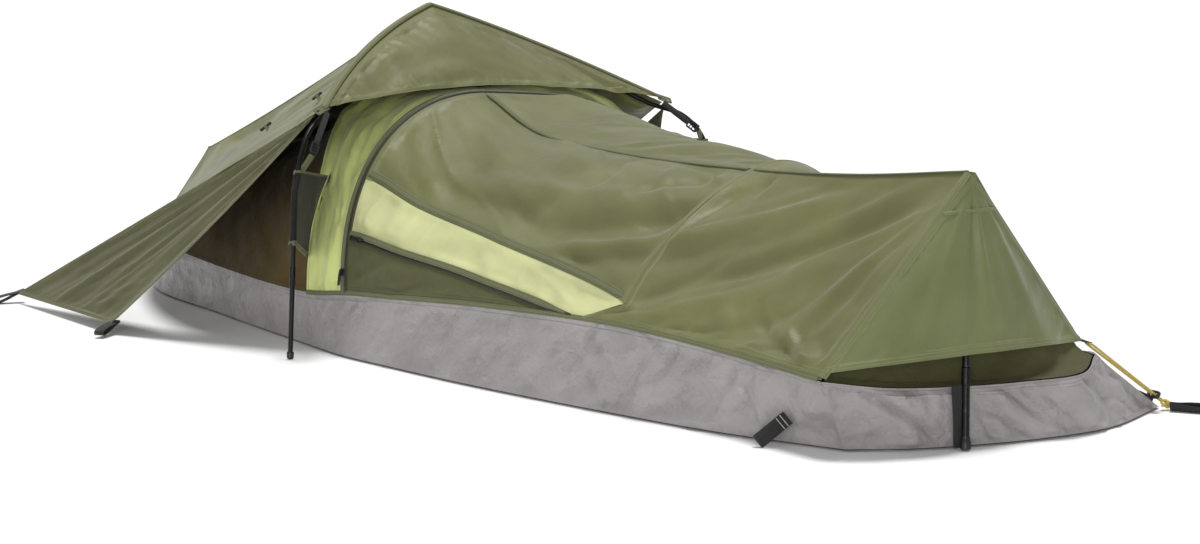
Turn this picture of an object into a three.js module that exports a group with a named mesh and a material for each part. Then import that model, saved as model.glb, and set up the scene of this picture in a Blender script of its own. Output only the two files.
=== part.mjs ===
// A one-person bivy shelter, pitched: a bathtub floor with grey side skirts, an olive cover over the legs with a
// zipped door, a hooped hood at the head with a fly, two pegged side awnings, and a foot pole.
// Millimetres, +X towards the foot, +Y to the far side, +Z up, z = 0 on the ground. Stations along X are measured
// from a point in front of the hood, and the whole shelter is then moved so that x = 0 is at mid-length.
import * as THREE from 'three';
import { mergeVertices } from 'three/addons/utils/BufferGeometryUtils.js';

// ---- driving dimensions
const CLOTH = 3; // depth that a panel and its hems take up
const SEAM = 1.6; // from a panel's edge to the seam line that it meets
const GAP = 0.4; // between pieces that touch
const LOCK_SWING_GAP = 1.3; // room for a ladder lock to tilt under its strap
const POLE_D = 9;
const WEBBING_W = 20;
const WEBBING_T = 2.4;
const ZIP_TAPE = 22; // width of the closed zip
const FOLD_CLEARANCE = 6; // from an awning's top edge to the fold line that it turns about

const MID_LENGTH = 45.7; // from the stations' zero to the middle of the length

const NEAR = -1;
const FAR = 1;

// The seam between skirt and cover, from the head end to the foot end; y is the distance from the centre plane.
const EAVE = [
  [-1140, 122, 96], [-930, 252, 94], [-560, 330, 93], [-168, 372, 98], [-20, 372, 114],
  [130, 362, 124], [360, 343, 139], [705, 298, 147], [960, 264, 134], [1207, 262, 122],
];
const FIRST_COVER_KEY = 3; // EAVE[3] is station 0 of the cover
// The ridge of the cover over the same stations, as x and z.
const RIDGE = [[-240, 452], [-135, 446], [40, 389], [300, 374], [690, 382], [965, 400], [1247, 433]];
// How round the cover is at each station: 1 is the hooped arch at the head, 0 the straight slopes at the foot.
const ROUNDNESS = [1, 1, 0.95, 0.8, 0.45, 0.2, 0];
// How much fuller the far side is at each station: its low shoulder's width and lift, then its high shoulder's.
const FAR_FULLNESS = [
  [0.18, 0.28, 0.25, -0.1], [0.18, 0.28, 0.25, -0.1], [0.15, 0.22, 0.22, 0.26], [0, 0.23, 0, 0.385],
  [0, 0.23, 0, 0.375], [0, 0.12, 0, 0.2], [0, 0, 0, 0],
];
const ZIP_STATION = 1;
const SEAM_STATION = 4;
const FOOT_STATION = 6;
const WEDGE_END_STATION = 3.75; // where the lower zip meets the skirt
const ZIP_HEIGHT = 0.18; // shares of the girth from eave to ridge, at the arch
const WEDGE_HEIGHT = 0.36;
const WEDGE_TIP = 0.1;
const MESH_START = 0.52;

// The edge of the floor on each side, key for key with EAVE, and around the foot end.
const FLOOR_NEAR = [
  [-1150, -128], [-930, -280], [-560, -334], [-168, -378], [-20, -392],
  [130, -385], [360, -368], [705, -322], [960, -275], [1190, -200],
];
const FLOOR_FAR = [
  [-1150, 128], [-930, 280], [-560, 334], [-168, 378], [-20, 392],
  [130, 385], [360, 368], [705, 322], [960, 320], [1205, 458],
];
const FOOT_FLOOR = [[1190, -200], [1240, -120], [1268, -40], [1296, 90], [1294, 260], [1205, 458]];
const FOOT_TOP = [
  [1207, -262, 120], [1246, -165, 106], [1267, -40, 98], [1290, 80, 97], [1296, 200, 99], [1232, 286, 112],
];
const HEAD_BULGE = 24; // how far the head end bows out at the centre plane

// Hood and fly
const PEAK = [-327, 0, 601];
const HOOD_CORNER = { near: [-93, -377, 443], far: [-93, 377, 419] };
const CROWN_BOW = [-32, 0, 13];
const HOOD_HEM_MIDDLE = [-153, 0, 457];
const FLY_TIP = [-1176, 16, 250];
const FLY_HEM = [[-104, 386, 432], [-240, 421, 362], [-376, 455, 292], [-620, 420, 190], [-900, 312, 132],
  [-1180, 128, 102]];
const PEG_NEAR_FOOT = [-480, 612, 20];
const PEG_NEAR_HEAD = [-932, 585, 20];

// Frame
const LEG_FOOT = [-50, 478, 0.3];
const LEG_TOP = [-52, 463, 300];
const ELBOW = [[-55, 457, 326], [-62, 443, 364], [-80, 417, 402], [-114, 360, 434]];
const SLEEVE_DEPTH = 12; // from the crown line down to the pole's middle
const HUB_SHARE = 0.07; // how far down the crown the hub reaches
const HUB_D = 13;
const FOOT_POLE_BASE = [1292, -40, 1.5];
const FOOT_POLE_TOP = [1241, 0, 414];
const FOOT_APEX = [1247, 0, 433];
const FOOT_HEM_BULGE = [78, -33, 18];
const FOOT_EAVE = [1212, 268, 134];
const FOOT_FLY_STANDOFF = 6; // the foot flap hangs this far outside the cover's end seam

// ---- materials
const surface = (color, roughness, metalness = 0) =>
  new THREE.MeshStandardMaterial({ color, roughness, metalness, side: THREE.DoubleSide });
const OLIVE = surface(0x7b7d58, 0.75);
const DARK_OLIVE = surface(0x555535, 0.8);
const LIME = surface(0xc7ca99, 0.6);
const GREY = surface(0x8f8a88, 0.6);
const MESH_BLACK = surface(0x2f2d28, 0.9);
const ZIP_OLIVE = surface(0x3c3d22, 0.7);
const WEB_BLACK = surface(0x1c1c1c, 0.8);
const PLASTIC_BLACK = surface(0x161616, 0.5);
const POLE_BLACK = surface(0x202022, 0.35, 0.6);
const YELLOW = surface(0xf0d76e, 0.8);

// ---- geometry helpers
const vec = (p) => new THREE.Vector3(...p);
const lerp = THREE.MathUtils.lerp;
const mix = (a, b, t) => a.clone().lerp(b, t);
const onSide = (p, side) => new THREE.Vector3(p[0], p[1] * side, p[2]);
const sideName = (side) => (side === NEAR ? 'near' : 'far');
const rail = (points) => new THREE.CatmullRomCurve3(points);
/** A point of a rail, held to its ends. */
const along = (curve, share) => curve.getPoint(THREE.MathUtils.clamp(share, 0, 1));

/** The same faces with only positions, and with shared corners merged. */
function closed(geometry) {
  geometry.deleteAttribute('normal');
  geometry.deleteAttribute('uv');
  return mergeVertices(geometry, 1e-4);
}

/** A panel of cloth: middle(u, v) is its mid-surface, and its edges stop short of the seams around it. */
function panel(middle, columns, rows, { depth = CLOTH, seam = SEAM } = {}) {
  const geometry = new THREE.BoxGeometry(1, 1, 1, columns, rows, 1);
  const width = Math.max(middle(0, 0.5).distanceTo(middle(0.5, 0.5)) * 2, 1);
  const height = Math.max(middle(0.5, 0).distanceTo(middle(0.5, 0.5)) * 2, 1);
  const step = 1e-3;
  const corners = geometry.attributes.position;
  for (let i = 0; i < corners.count; i += 1) {
    const u = 0.5 + corners.getX(i) * (1 - (2 * seam) / width);
    const v = 0.5 + corners.getY(i) * (1 - (2 * seam) / height);
    const alongU = middle(u + step, v).sub(middle(u - step, v));
    const alongV = middle(u, v + step).sub(middle(u, v - step));
    const normal = alongU.cross(alongV).normalize();
    const point = middle(u, v).addScaledVector(normal, corners.getZ(i) * depth);
    corners.setXYZ(i, point.x, point.y, point.z);
  }
  return closed(geometry);
}

/** A round rod or tube that follows a curve. */
function rod(points, diameter, steps, sides = 10) {
  const path = points.length > 2 ? rail(points.map(vec)) : new THREE.LineCurve3(...points.map(vec));
  const outline = new THREE.Shape().absarc(0, 0, diameter / 2, 0, Math.PI * 2);
  const rounded = new THREE.Shape(outline.getPoints(sides / 2).slice(0, -1));
  return closed(new THREE.ExtrudeGeometry(rounded, { steps, extrudePath: path }));
}

/** A flat plate with an optional hole, its outline in its own XY plane and its thickness along Z. */
function plate(outline, hole, thickness) {
  const shape = new THREE.Shape(outline.map(([x, y]) => new THREE.Vector2(x, y)));
  if (hole) shape.holes.push(new THREE.Path(hole.map(([x, y]) => new THREE.Vector2(x, y))));
  return closed(new THREE.ExtrudeGeometry(shape, { depth: thickness, bevelEnabled: false }));
}

/** Corners of a rectangle with cut corners, between two opposite corners. */
function chamfered(x0, y0, x1, y1, cut) {
  return [
    [x0 + cut, y0], [x1 - cut, y0], [x1, y0 + cut], [x1, y1 - cut],
    [x1 - cut, y1], [x0 + cut, y1], [x0, y1 - cut], [x0, y0 + cut],
  ];
}

/** Places a geometry with its X axis along one direction, its Z axis towards the other, at a point. */
function placed(geometry, at, direction, facing) {
  const x = direction.clone().normalize();
  const y = facing.clone().cross(x).normalize();
  const z = x.clone().cross(y);
  return geometry.applyMatrix4(new THREE.Matrix4().makeBasis(x, y, z).setPosition(at));
}

const tent = new THREE.Group();

function add(name, geometry, material) {
  const mesh = new THREE.Mesh(geometry, material);
  mesh.name = name;
  tent.add(mesh);
}

// ---- the cover over the sleeper
const eaveRail = rail(EAVE.map(vec));
const ridgeRail = rail(RIDGE.map(([x, z]) => vec([x, 0, z])));

function eavePoint(key, side) {
  const point = along(eaveRail, key / (EAVE.length - 1));
  point.y *= side;
  return point;
}

/** A point of the cover: station from head to foot, rise from 0 at the eave to 1 at the ridge. */
function cover(station, rise, side) {
  const eave = eavePoint(station + FIRST_COVER_KEY, side);
  const ridge = along(ridgeRail, station / FOOT_STATION);
  const key = THREE.MathUtils.clamp(Math.floor(station), 0, FOOT_STATION - 1);
  const between = THREE.MathUtils.clamp(station - key, 0, 1);
  const round = lerp(ROUNDNESS[key], ROUNDNESS[key + 1], between);
  const share = side === FAR ? 1 : 0;
  const fuller = FAR_FULLNESS[key].map((value, i) => share * lerp(value, FAR_FULLNESS[key + 1][i], between));
  const height = ridge.z - eave.z;
  const shoulders = [
    [lerp(2 / 3, 0.9, round) + fuller[0], lerp(1 / 3, 0.65, round) + fuller[1]],
    [lerp(1 / 3, 0.5, round) + fuller[2], lerp(2 / 3, 1.03, round) + fuller[3]],
  ].map(([width, lift]) => new THREE.Vector3(
    lerp(ridge.x, eave.x, 1 - Math.min(lift, 1)),
    eave.y * width,
    eave.z + height * lift,
  ));
  return new THREE.CubicBezierCurve3(eave, ...shoulders, ridge).getPoint(rise);
}

/** A point of the cover by girth, from -1 at the near eave over 0 at the ridge to 1 at the far eave. */
const overRidge = (station, girth) => cover(station, 1 - Math.abs(girth), girth < 0 ? NEAR : FAR);

/** Share of the door's length, from the arch to where the lower zip ends. */
const alongDoor = (station) => (station - ZIP_STATION) / (WEDGE_END_STATION - ZIP_STATION);
const zipRise = (station) => ZIP_HEIGHT * (1 - Math.max(0, alongDoor(station)) ** 3);
const wedgeRise = (station) =>
  lerp(WEDGE_HEIGHT, WEDGE_TIP, Math.max(0, (station - ZIP_STATION) / (SEAM_STATION - ZIP_STATION)) ** 2.6);

const GIRTH_MM = 470; // eave to ridge along the cloth, at the arch
const TAPE_RISE = ZIP_TAPE / GIRTH_MM;
const TAPE_STATIONS = 0.18; // the arch zip's width, in stations
const tapeFoot = (station) => Math.max(0, zipRise(station) - TAPE_RISE);

/** Turns a panel's own v round on the far side, so that its faces point the same way out on both sides. */
const outward = (side, point) => (u, v) => (side === NEAR ? point(u, v) : point(1 - u, v));

function coverPanels() {
  add('arch_band', panel(
    (u, v) => overRidge(lerp(0, ZIP_STATION - TAPE_STATIONS, u), lerp(-1, 1, v)), 2, 34), LIME);
  add('arch_zip', panel(
    (u, v) => overRidge(lerp(ZIP_STATION - TAPE_STATIONS, ZIP_STATION, u), lerp(-1, 1, v)), 1, 34), ZIP_OLIVE);
  add('door_panel', panel((u, v) => {
    const station = lerp(ZIP_STATION, SEAM_STATION, u);
    return overRidge(station, lerp(-1, 1, v) * (1 - wedgeRise(station)));
  }, 12, 20), OLIVE);
  for (const side of [NEAR, FAR]) {
    const name = sideName(side);
    const piece = (label, point, columns, rows, material, seam = SEAM) =>
      add(`${label}_${name}`, panel(outward(side, point), columns, rows, { seam }), material);
    piece('door_wedge', (u, v) => {
      const low = lerp(ZIP_STATION, WEDGE_END_STATION, u);
      const high = lerp(ZIP_STATION, SEAM_STATION, u);
      return cover(lerp(low, high, v), lerp(zipRise(low), wedgeRise(high), v), side);
    }, 12, 2, LIME);
    piece('lower_zip', (u, v) => {
      const station = lerp(ZIP_STATION, WEDGE_END_STATION - 0.05, u);
      return cover(station, lerp(tapeFoot(station), zipRise(station), v), side);
    }, 12, 1, ZIP_OLIVE);
    piece('lower_wall', (u, v) => {
      const station = lerp(ZIP_STATION, WEDGE_END_STATION - 0.32, u);
      return cover(station, lerp(0, tapeFoot(station), v), side);
    }, 10, 2, DARK_OLIVE);
    piece('foot_roof', (u, v) => {
      const start = lerp(WEDGE_END_STATION, SEAM_STATION, Math.min(v / (WEDGE_TIP * 0.9), 1));
      return cover(lerp(start, FOOT_STATION, u), v, side);
    }, 8, 11, OLIVE, 2.4);
  }
}

// ---- floor and skirt
const flat = ([x, y]) => vec([x, y, 0]);
const floorRails = { [NEAR]: rail(FLOOR_NEAR.map(flat)), [FAR]: rail(FLOOR_FAR.map(flat)) };
const footFloor = rail(FOOT_FLOOR.map(flat));
const HEAD_FLOOR = [FLOOR_FAR[0][0], FLOOR_FAR[0][1], 0];
const footTop = rail(FOOT_TOP.map(vec));
const SKIRT_LIFT = CLOTH + 1.8; // the skirt stands on the floor sheet

/** The head end's edge at a height, bowed out between the two side edges; share runs from near to far. */
function headEdge(corner, share) {
  const [x, y, z] = corner;
  return vec([x - HEAD_BULGE * 4 * share * (1 - share), lerp(-y, y, share), z]);
}

function floorAndSkirt() {
  const outline = [];
  const samples = 30;
  for (let i = 0; i <= samples; i += 1) outline.push(along(floorRails[NEAR], i / samples));
  for (let i = 1; i < 16; i += 1) outline.push(along(footFloor, i / 16));
  for (let i = samples; i >= 0; i -= 1) outline.push(along(floorRails[FAR], i / samples));
  for (let i = 5; i > 0; i -= 1) outline.push(headEdge(HEAD_FLOOR, i / 6));
  const shape = new THREE.Shape(outline.map((p) => new THREE.Vector2(p.x, p.y)));
  add('floor_sheet', closed(new THREE.ExtrudeGeometry(shape, { depth: CLOTH, bevelEnabled: false })), GREY);

  const lifted = (point) => point.add(new THREE.Vector3(0, 0, SKIRT_LIFT - SEAM));
  for (const side of [NEAR, FAR]) {
    const corner = side === FAR ? vec(FOOT_TOP.at(-1)) : vec(FOOT_TOP[0]);
    add(`skirt_${sideName(side)}`, panel(outward(side, (u, v) => {
      const top = eavePoint(u * (EAVE.length - 1), side);
      const pull = Math.max(0, u * (EAVE.length - 1) - (EAVE.length - 2)) ** 2;
      top.lerp(corner, pull);
      return mix(lifted(along(floorRails[side], u)), top, v);
    }), 30, 2), GREY);
  }
  add('skirt_foot', panel((u, v) => mix(lifted(along(footFloor, u)), along(footTop, u), v), 16, 2), GREY);
  add('skirt_head', panel(
    (u, v) => mix(lifted(headEdge(HEAD_FLOOR, 1 - u)), headEdge(EAVE[0], 1 - u), v), 6, 2), GREY);
}

// ---- the inner tent's head and foot ends
const HEAD_TOP = [-1118, 92, 168];
const HEAD_WALL_FOOT = [EAVE[0][0], EAVE[0][1], EAVE[0][2] + 1];
const HEAD_TOP_CROWN = 16;

const innerHeadTop = (share) => {
  const point = headEdge(HEAD_TOP, share);
  point.z += HEAD_TOP_CROWN * 4 * share * (1 - share);
  return point;
};

function innerEnds() {
  for (const side of [NEAR, FAR]) {
    add(`head_wall_${sideName(side)}`, panel(outward(side, (u, v) => {
      const bottom = eavePoint(u * FIRST_COVER_KEY, side);
      const top = mix(onSide(HEAD_TOP, side), cover(0, MESH_START, side), u);
      const straight = mix(cover(0, 0, side), cover(0, MESH_START, side), v);
      const bow = cover(0, v * MESH_START, side).sub(straight).multiplyScalar(u * u);
      return mix(bottom, top, v).add(bow);
    }), 12, 6), DARK_OLIVE);
  }
  add('mesh_roof', panel((u, v) => {
    const girth = lerp(-1, 1, v);
    return mix(innerHeadTop(v), overRidge(0, girth * (1 - MESH_START)), u);
  }, 10, 12), MESH_BLACK);
  add('head_end_wall', panel(
    (u, v) => mix(headEdge(HEAD_WALL_FOOT, 1 - u), innerHeadTop(1 - u), v), 6, 2), DARK_OLIVE);
  const wallTop = vec([1222, 0, 372]);
  add('foot_inner_wall', panel((u, v) => {
    const low = along(footTop, lerp(0.03, 0.97, u)).add(new THREE.Vector3(-6, 0, 2));
    const high = wallTop.clone().add(new THREE.Vector3(0, lerp(-26, 26, u), 0));
    const knee = new THREE.Vector3(Math.min(low.x, 1235) - 22, low.y * 0.85, low.z + 14);
    return new THREE.QuadraticBezierCurve3(low, knee, high).getPoint(v);
  }, 12, 6), DARK_OLIVE);
}

// ---- hood, fly and awnings
/** The line over the hoop pole: 0 at the peak, 1 at the hood's corner. */
function crown(share, side) {
  const bow = vec(CROWN_BOW).multiplyScalar(4 * share * (1 - share));
  return mix(vec(PEAK), vec(HOOD_CORNER[sideName(side)]), share).add(bow);
}

function hoodHem(share, side) {
  const corner = vec(HOOD_CORNER[sideName(side)]);
  const middle = vec(HOOD_HEM_MIDDLE);
  const bend = share * share;
  return new THREE.Vector3(lerp(middle.x, corner.x, bend), corner.y * share, lerp(middle.z, corner.z, bend));
}

const flyHem = rail(FLY_HEM.map(vec));

function flyHemPoint(share, side) {
  const point = along(flyHem, share);
  point.y *= side;
  point.z += (HOOD_CORNER[sideName(side)][2] - HOOD_CORNER.near[2]) * (1 - share) ** 4;
  return point;
}

const RIDGE_SPREAD = 0.02; // the two fly panels part by this share at the ridge

/** The head fly on one side: u from the hood's crown to the head end, v from the hem up to the ridge. */
function flySide(u, v, side) {
  const ridge = mix(vec(PEAK), onSide(FLY_TIP, side), u);
  ridge.z -= 10 * 4 * u * (1 - u);
  const low = flyHemPoint(u, side);
  const straight = mix(low, ridge, v);
  const swell = 14 * Math.sin(Math.PI * v) * Math.sin(Math.PI * Math.min(u * 1.3, 1));
  const onCrown = crown(1 - v, side).sub(mix(vec(HOOD_CORNER[sideName(side)]), vec(PEAK), v));
  straight.addScaledVector(onCrown, (1 - u) ** 6);
  return straight.add(new THREE.Vector3(0, 0, swell));
}

function hoodAndFly() {
  add('hood_visor', panel((u, v) => {
    const across = lerp(-1, 1, v);
    const side = across < 0 ? NEAR : FAR;
    const share = Math.abs(across);
    const belly = new THREE.Vector3(6, 0, 6).multiplyScalar(Math.sin(Math.PI * u) * (1 - share * share));
    return mix(crown(share, side), hoodHem(share, side), u).add(belly);
  }, 4, 24), OLIVE);
  for (const side of [NEAR, FAR]) {
    add(`fly_${sideName(side)}`, panel(
      outward(-side, (u, v) => flySide(u, lerp(0, 1 - RIDGE_SPREAD * 0.2, v), side)), 16, 8, { seam: 4 }), OLIVE);
  }
  const tip = [FLY_TIP[0] - 3, FLY_TIP[1] - 2, FLY_TIP[2] - 2];
  const low = [FLY_HEM.at(-1)[0] - 6, FLY_HEM.at(-1)[1] - 6, FLY_HEM.at(-1)[2]];
  add('fly_head_end', panel(
    (u, v) => mix(headEdge(low, 1 - u), headEdge(tip, 1 - u), v), 6, 4, { seam: 2.5 }), OLIVE);
}

/** The olive flap that closes the foot end, from its straight hem up to the top of the foot pole. */
function footFly() {
  const corner = (side) => onSide(FOOT_EAVE, side);
  add('foot_fly', panel((u, v) => {
    const hem = mix(corner(NEAR), corner(FAR), u).addScaledVector(vec(FOOT_HEM_BULGE), 4 * u * (1 - u));
    return mix(hem, vec(FOOT_APEX), v * 0.97).add(new THREE.Vector3(FOOT_FLY_STANDOFF, 0, 0));
  }, 12, 8, { seam: 3 }), OLIVE);
}

function awning(side) {
  const name = sideName(side);
  const fold = onSide([-104, 386, HOOD_CORNER[name][2] - 9], side);
  const footPeg = onSide(PEG_NEAR_FOOT, side);
  const headPeg = onSide(PEG_NEAR_HEAD, side);
  const downhill = footPeg.clone().sub(mix(fold, headPeg, 0.5)).normalize().multiplyScalar(FOLD_CLEARANCE);
  fold.add(downhill);
  headPeg.add(downhill.clone().multiplyScalar(0.7));
  add(`awning_${name}`, panel(outward(-side, (u, v) => {
    const hem = mix(headPeg, footPeg, u);
    const sag = new THREE.Vector3(0, 0, -9 * 4 * v * (1 - v) * u);
    return mix(hem, fold, v).add(sag);
  }), 6, 12, { seam: 2 }), OLIVE);
  for (const [label, peg, toward] of [
    ['foot', footPeg, new THREE.Vector3(0.55, 0.8 * side, -0.2)],
    ['head', headPeg, new THREE.Vector3(-0.25, 0.9 * side, -0.2)],
  ]) {
    pegLoop(`awning_loop_${name}_${label}`, peg, toward);
  }
}

/** A flat webbing loop with a hole for a ground peg, sewn on at a point and lying towards a direction. */
function pegLoop(name, at, toward) {
  const direction = toward.clone().normalize();
  const length = 50;
  const outline = chamfered(0, -WEBBING_W / 2 - 2, length, WEBBING_W / 2 + 2, 7);
  const hole = chamfered(20, -6, 42, 6, 4);
  const flatPlate = plate(outline, hole, WEBBING_T).translate(0, 0, -WEBBING_T / 2);
  const start = at.clone().addScaledVector(direction, 4);
  add(name, placed(flatPlate, start, direction, new THREE.Vector3(0, 0, 1)), WEB_BLACK);
}

// ---- frame
/** The middle of the hoop pole below the crown line. */
const poleLine = (share, side) => crown(share, side).add(new THREE.Vector3(0, 0, -SLEEVE_DEPTH)).toArray();

function hoopSide(side) {
  const name = sideName(side);
  const point = (p) => onSide(p, side).toArray();
  const drop = HOOD_CORNER[name][2] - HOOD_CORNER.near[2];
  const bend = ELBOW.map(([x, y, z], i) => point([x, y, z + (drop * i) / (ELBOW.length - 1)]));
  const foot = vec(LEG_FOOT);
  const legStart = mix(foot, vec(LEG_TOP), 0.045).toArray();
  add(`pole_tip_${name}`, rod([point(LEG_FOOT), point(mix(foot, vec(LEG_TOP), 0.043).toArray())], 13, 1, 12),
    PLASTIC_BLACK);
  add(`pole_leg_${name}`, rod([point(legStart), point([...LEG_TOP])], POLE_D, 4), POLE_BLACK);
  const joint = point([LEG_TOP[0], LEG_TOP[1], LEG_TOP[2] + 3 * GAP]);
  const top = [0.72, 0.48, 0.24, HUB_SHARE].map((share) => poleLine(share, side));
  add(`pole_arm_${name}`, rod([joint, ...bend, ...top], POLE_D, 36), POLE_BLACK);
}

function frame() {
  hoopSide(NEAR);
  hoopSide(FAR);
  const hubEnd = (side) => poleLine(HUB_SHARE - 0.003, side);
  add('crown_hub', rod([hubEnd(NEAR), poleLine(0, NEAR), hubEnd(FAR)], HUB_D, 6, 12), PLASTIC_BLACK);
  const base = vec(FOOT_POLE_BASE);
  const top = vec(FOOT_POLE_TOP);
  add('foot_pole', rod([mix(base, top, 0.036).toArray(), FOOT_POLE_TOP], 12, 6, 12), POLE_BLACK);
  add('foot_pole_tip', rod([FOOT_POLE_BASE, mix(base, top, 0.034).toArray()], 17, 1, 12), PLASTIC_BLACK);
}

// ---- straps that tie the hoop to the tent
function hoopTies(side) {
  const name = sideName(side);
  const corner = vec(HOOD_CORNER[name]).add(new THREE.Vector3(14, 4 * side, -14));
  const low = onSide([-36, 446, 344], side);
  const down = low.clone().sub(corner);
  const facing = new THREE.Vector3(1, -0.15 * side, 0.2);
  const strapLength = down.length() * 0.5;
  const strap = new THREE.BoxGeometry(strapLength, 10, 1.8).translate(strapLength / 2, 0, 0);
  add(`tie_strap_${name}`, placed(closed(strap), corner, down, facing), WEB_BLACK);
  const lockAt = corner.clone().addScaledVector(down.clone().normalize(), strapLength + LOCK_SWING_GAP);
  const lock = plate(chamfered(0, -9, 24, 9, 3), chamfered(8, -5.5, 13, 5.5, 1), 4).translate(0, 0, -2);
  add(`ladder_lock_${name}`, placed(lock, lockAt, down, facing), PLASTIC_BLACK);
  const poleTop = onSide([-56, 446, 318], side);
  const poleLow = onSide([-56, 455, 200], side);
  add(`mesh_wing_${name}`, panel(outward(-side, (u, v) => {
    const inner = cover(-0.02, lerp(0.1, 0.3, v), side).add(new THREE.Vector3(-6, 4 * side, 0));
    return mix(inner, mix(poleLow, poleTop, v), u);
  }), 4, 4), MESH_BLACK);
}

// ---- zip sliders and their pulls
const SLIDER = [14, 9, 5];
const PULL_LENGTH = 26;
const PULL_WIDTH = 7;
const SLIDER_STANDOFF = 3;

/** A slider on a zip at one point, its pull lying back along the teeth; travel points the way it opens. */
function slider(name, at, travel, normal) {
  const height = CLOTH / 2 + SLIDER_STANDOFF + SLIDER[2] / 2;
  const seat = at.clone().addScaledVector(normal, height);
  add(`${name}_slider`, placed(closed(new THREE.BoxGeometry(...SLIDER)), seat, travel, normal), PLASTIC_BLACK);
  const pullSeat = seat.clone().addScaledVector(normal, SLIDER[2] / 2 + GAP);
  const outline = chamfered(-PULL_LENGTH, -PULL_WIDTH / 2, 0, PULL_WIDTH / 2, 2);
  add(`${name}_pull`, placed(plate(outline, null, 1.8), pullSeat, travel, normal), PLASTIC_BLACK);
}

function sliderOnCover(name, side, from, to) {
  const start = cover(...from, side);
  const travel = cover(...to, side).sub(start);
  const across = cover(from[0], from[1] + 0.02, side).sub(cover(from[0], from[1] - 0.02, side));
  const lengthwise = cover(from[0] + 0.05, from[1], side).sub(cover(from[0] - 0.05, from[1], side));
  const normal = lengthwise.cross(across).normalize().multiplyScalar(-side);
  slider(name, start, travel, normal);
}

function zipPulls() {
  const arch = ZIP_STATION - TAPE_STATIONS / 2;
  sliderOnCover('arch_zip_near', NEAR, [arch, 0.055], [arch, 0.2]);
  for (const side of [NEAR, FAR]) {
    const track = (station) => [station, zipRise(station) - TAPE_RISE / 2];
    sliderOnCover(`lower_zip_${sideName(side)}`, side, track(1.25), track(2.2));
  }
}

// ---- guy line and ground loops at the foot, and the fly's roll-up toggles
const GUY_TOP = [1222, 284, 128];
const GUY_END = [1219, 452, 16];
const GUY_D = 3.2;
const GUY_SPREAD_TOP = 7;
const GUY_SPREAD_END = 4;

function guyLine() {
  const top = vec(GUY_TOP);
  const end = vec(GUY_END);
  const downLine = end.clone().sub(top).normalize();
  const across = new THREE.Vector3(1, 0, 0);
  const strand = (share, sign) => mix(end, top, share)
    .addScaledVector(across, sign * lerp(GUY_SPREAD_END, GUY_SPREAD_TOP, share)).toArray();
  const turn = [-60, 0, 60].map((degrees) => {
    const angle = THREE.MathUtils.degToRad(degrees);
    return top.clone().addScaledVector(across, GUY_SPREAD_TOP * Math.sin(angle))
      .addScaledVector(downLine, -GUY_SPREAD_TOP * Math.cos(angle)).toArray();
  });
  const path = [strand(0, -1), strand(0.35, -1), strand(0.7, -1), strand(1, -1), ...turn,
    strand(1, 1), strand(0.7, 1), strand(0.35, 1), strand(0, 1)];
  add('guy_line', rod(path, GUY_D, 78, 8), YELLOW);
  const knot = new THREE.SphereGeometry(8, 12, 8);
  const knotAt = end.clone().addScaledVector(downLine, 9.2);
  add('guy_knot', closed(knot).translate(...knotAt.toArray()), YELLOW);
  const runner = plate(chamfered(-13, -6, 13, 6, 2.5), chamfered(-8.5, -2.6, 8.5, 2.6, 1), 7);
  add('guy_runner', placed(runner, mix(end, top, 0.12), across, downLine.clone().negate()), PLASTIC_BLACK);
}

function groundLoops() {
  pegLoop('ground_loop_far_foot', vec([1236, 462, 6]), new THREE.Vector3(0.7, 0.5, -0.03));
  pegLoop('ground_loop_near_foot', vec([1108, -255, 44]), new THREE.Vector3(-0.45, -0.55, -0.6));
}

function toggle(name, u, v) {
  const at = flySide(u, v, NEAR);
  const slant = flySide(u - 0.05, v + 0.05, NEAR).sub(at);
  const normal = new THREE.Vector3(-0.28, -0.545, 0.79);
  const peg = new THREE.CapsuleGeometry(3, 20, 3, 8).rotateZ(Math.PI / 2);
  const seat = at.clone().addScaledVector(normal, 8);
  add(name, placed(closed(peg), seat, slant, normal), PLASTIC_BLACK);
}

floorAndSkirt();
innerEnds();
coverPanels();
hoodAndFly();
footFly();
awning(NEAR);
awning(FAR);
frame();
hoopTies(NEAR);
hoopTies(FAR);
zipPulls();
guyLine();
groundLoops();
toggle('roll_up_toggle', 0.28, 0.22);

tent.position.x = -MID_LENGTH;

export default tent;
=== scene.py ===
"""A one-person bivy shelter: cloth panels with hems, seams and wrinkles, zips, poles, webbing and fittings.

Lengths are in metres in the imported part's frame: +X towards the foot end, +Y to the far side, +Z up.
"""

import math

import bpy
import numpy as np
from mathutils import Matrix, Vector


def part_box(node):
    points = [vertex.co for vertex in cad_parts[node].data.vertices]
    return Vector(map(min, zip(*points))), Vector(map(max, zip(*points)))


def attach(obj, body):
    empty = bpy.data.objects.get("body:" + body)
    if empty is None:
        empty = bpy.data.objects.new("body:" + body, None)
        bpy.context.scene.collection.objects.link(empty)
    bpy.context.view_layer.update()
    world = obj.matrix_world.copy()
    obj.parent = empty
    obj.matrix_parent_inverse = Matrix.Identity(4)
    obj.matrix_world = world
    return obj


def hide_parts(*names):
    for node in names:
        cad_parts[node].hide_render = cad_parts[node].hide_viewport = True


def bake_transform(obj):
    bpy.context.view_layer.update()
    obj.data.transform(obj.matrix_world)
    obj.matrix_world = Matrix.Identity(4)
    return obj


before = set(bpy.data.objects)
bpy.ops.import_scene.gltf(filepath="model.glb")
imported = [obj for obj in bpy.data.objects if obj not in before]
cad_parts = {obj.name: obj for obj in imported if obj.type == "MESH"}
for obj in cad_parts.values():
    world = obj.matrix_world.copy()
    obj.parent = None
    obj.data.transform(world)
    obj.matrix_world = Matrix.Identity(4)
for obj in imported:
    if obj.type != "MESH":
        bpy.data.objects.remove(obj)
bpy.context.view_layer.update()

# ---------------------------------------------------------------- driving values, in millimetres
MID_LENGTH = 45.7
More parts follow.
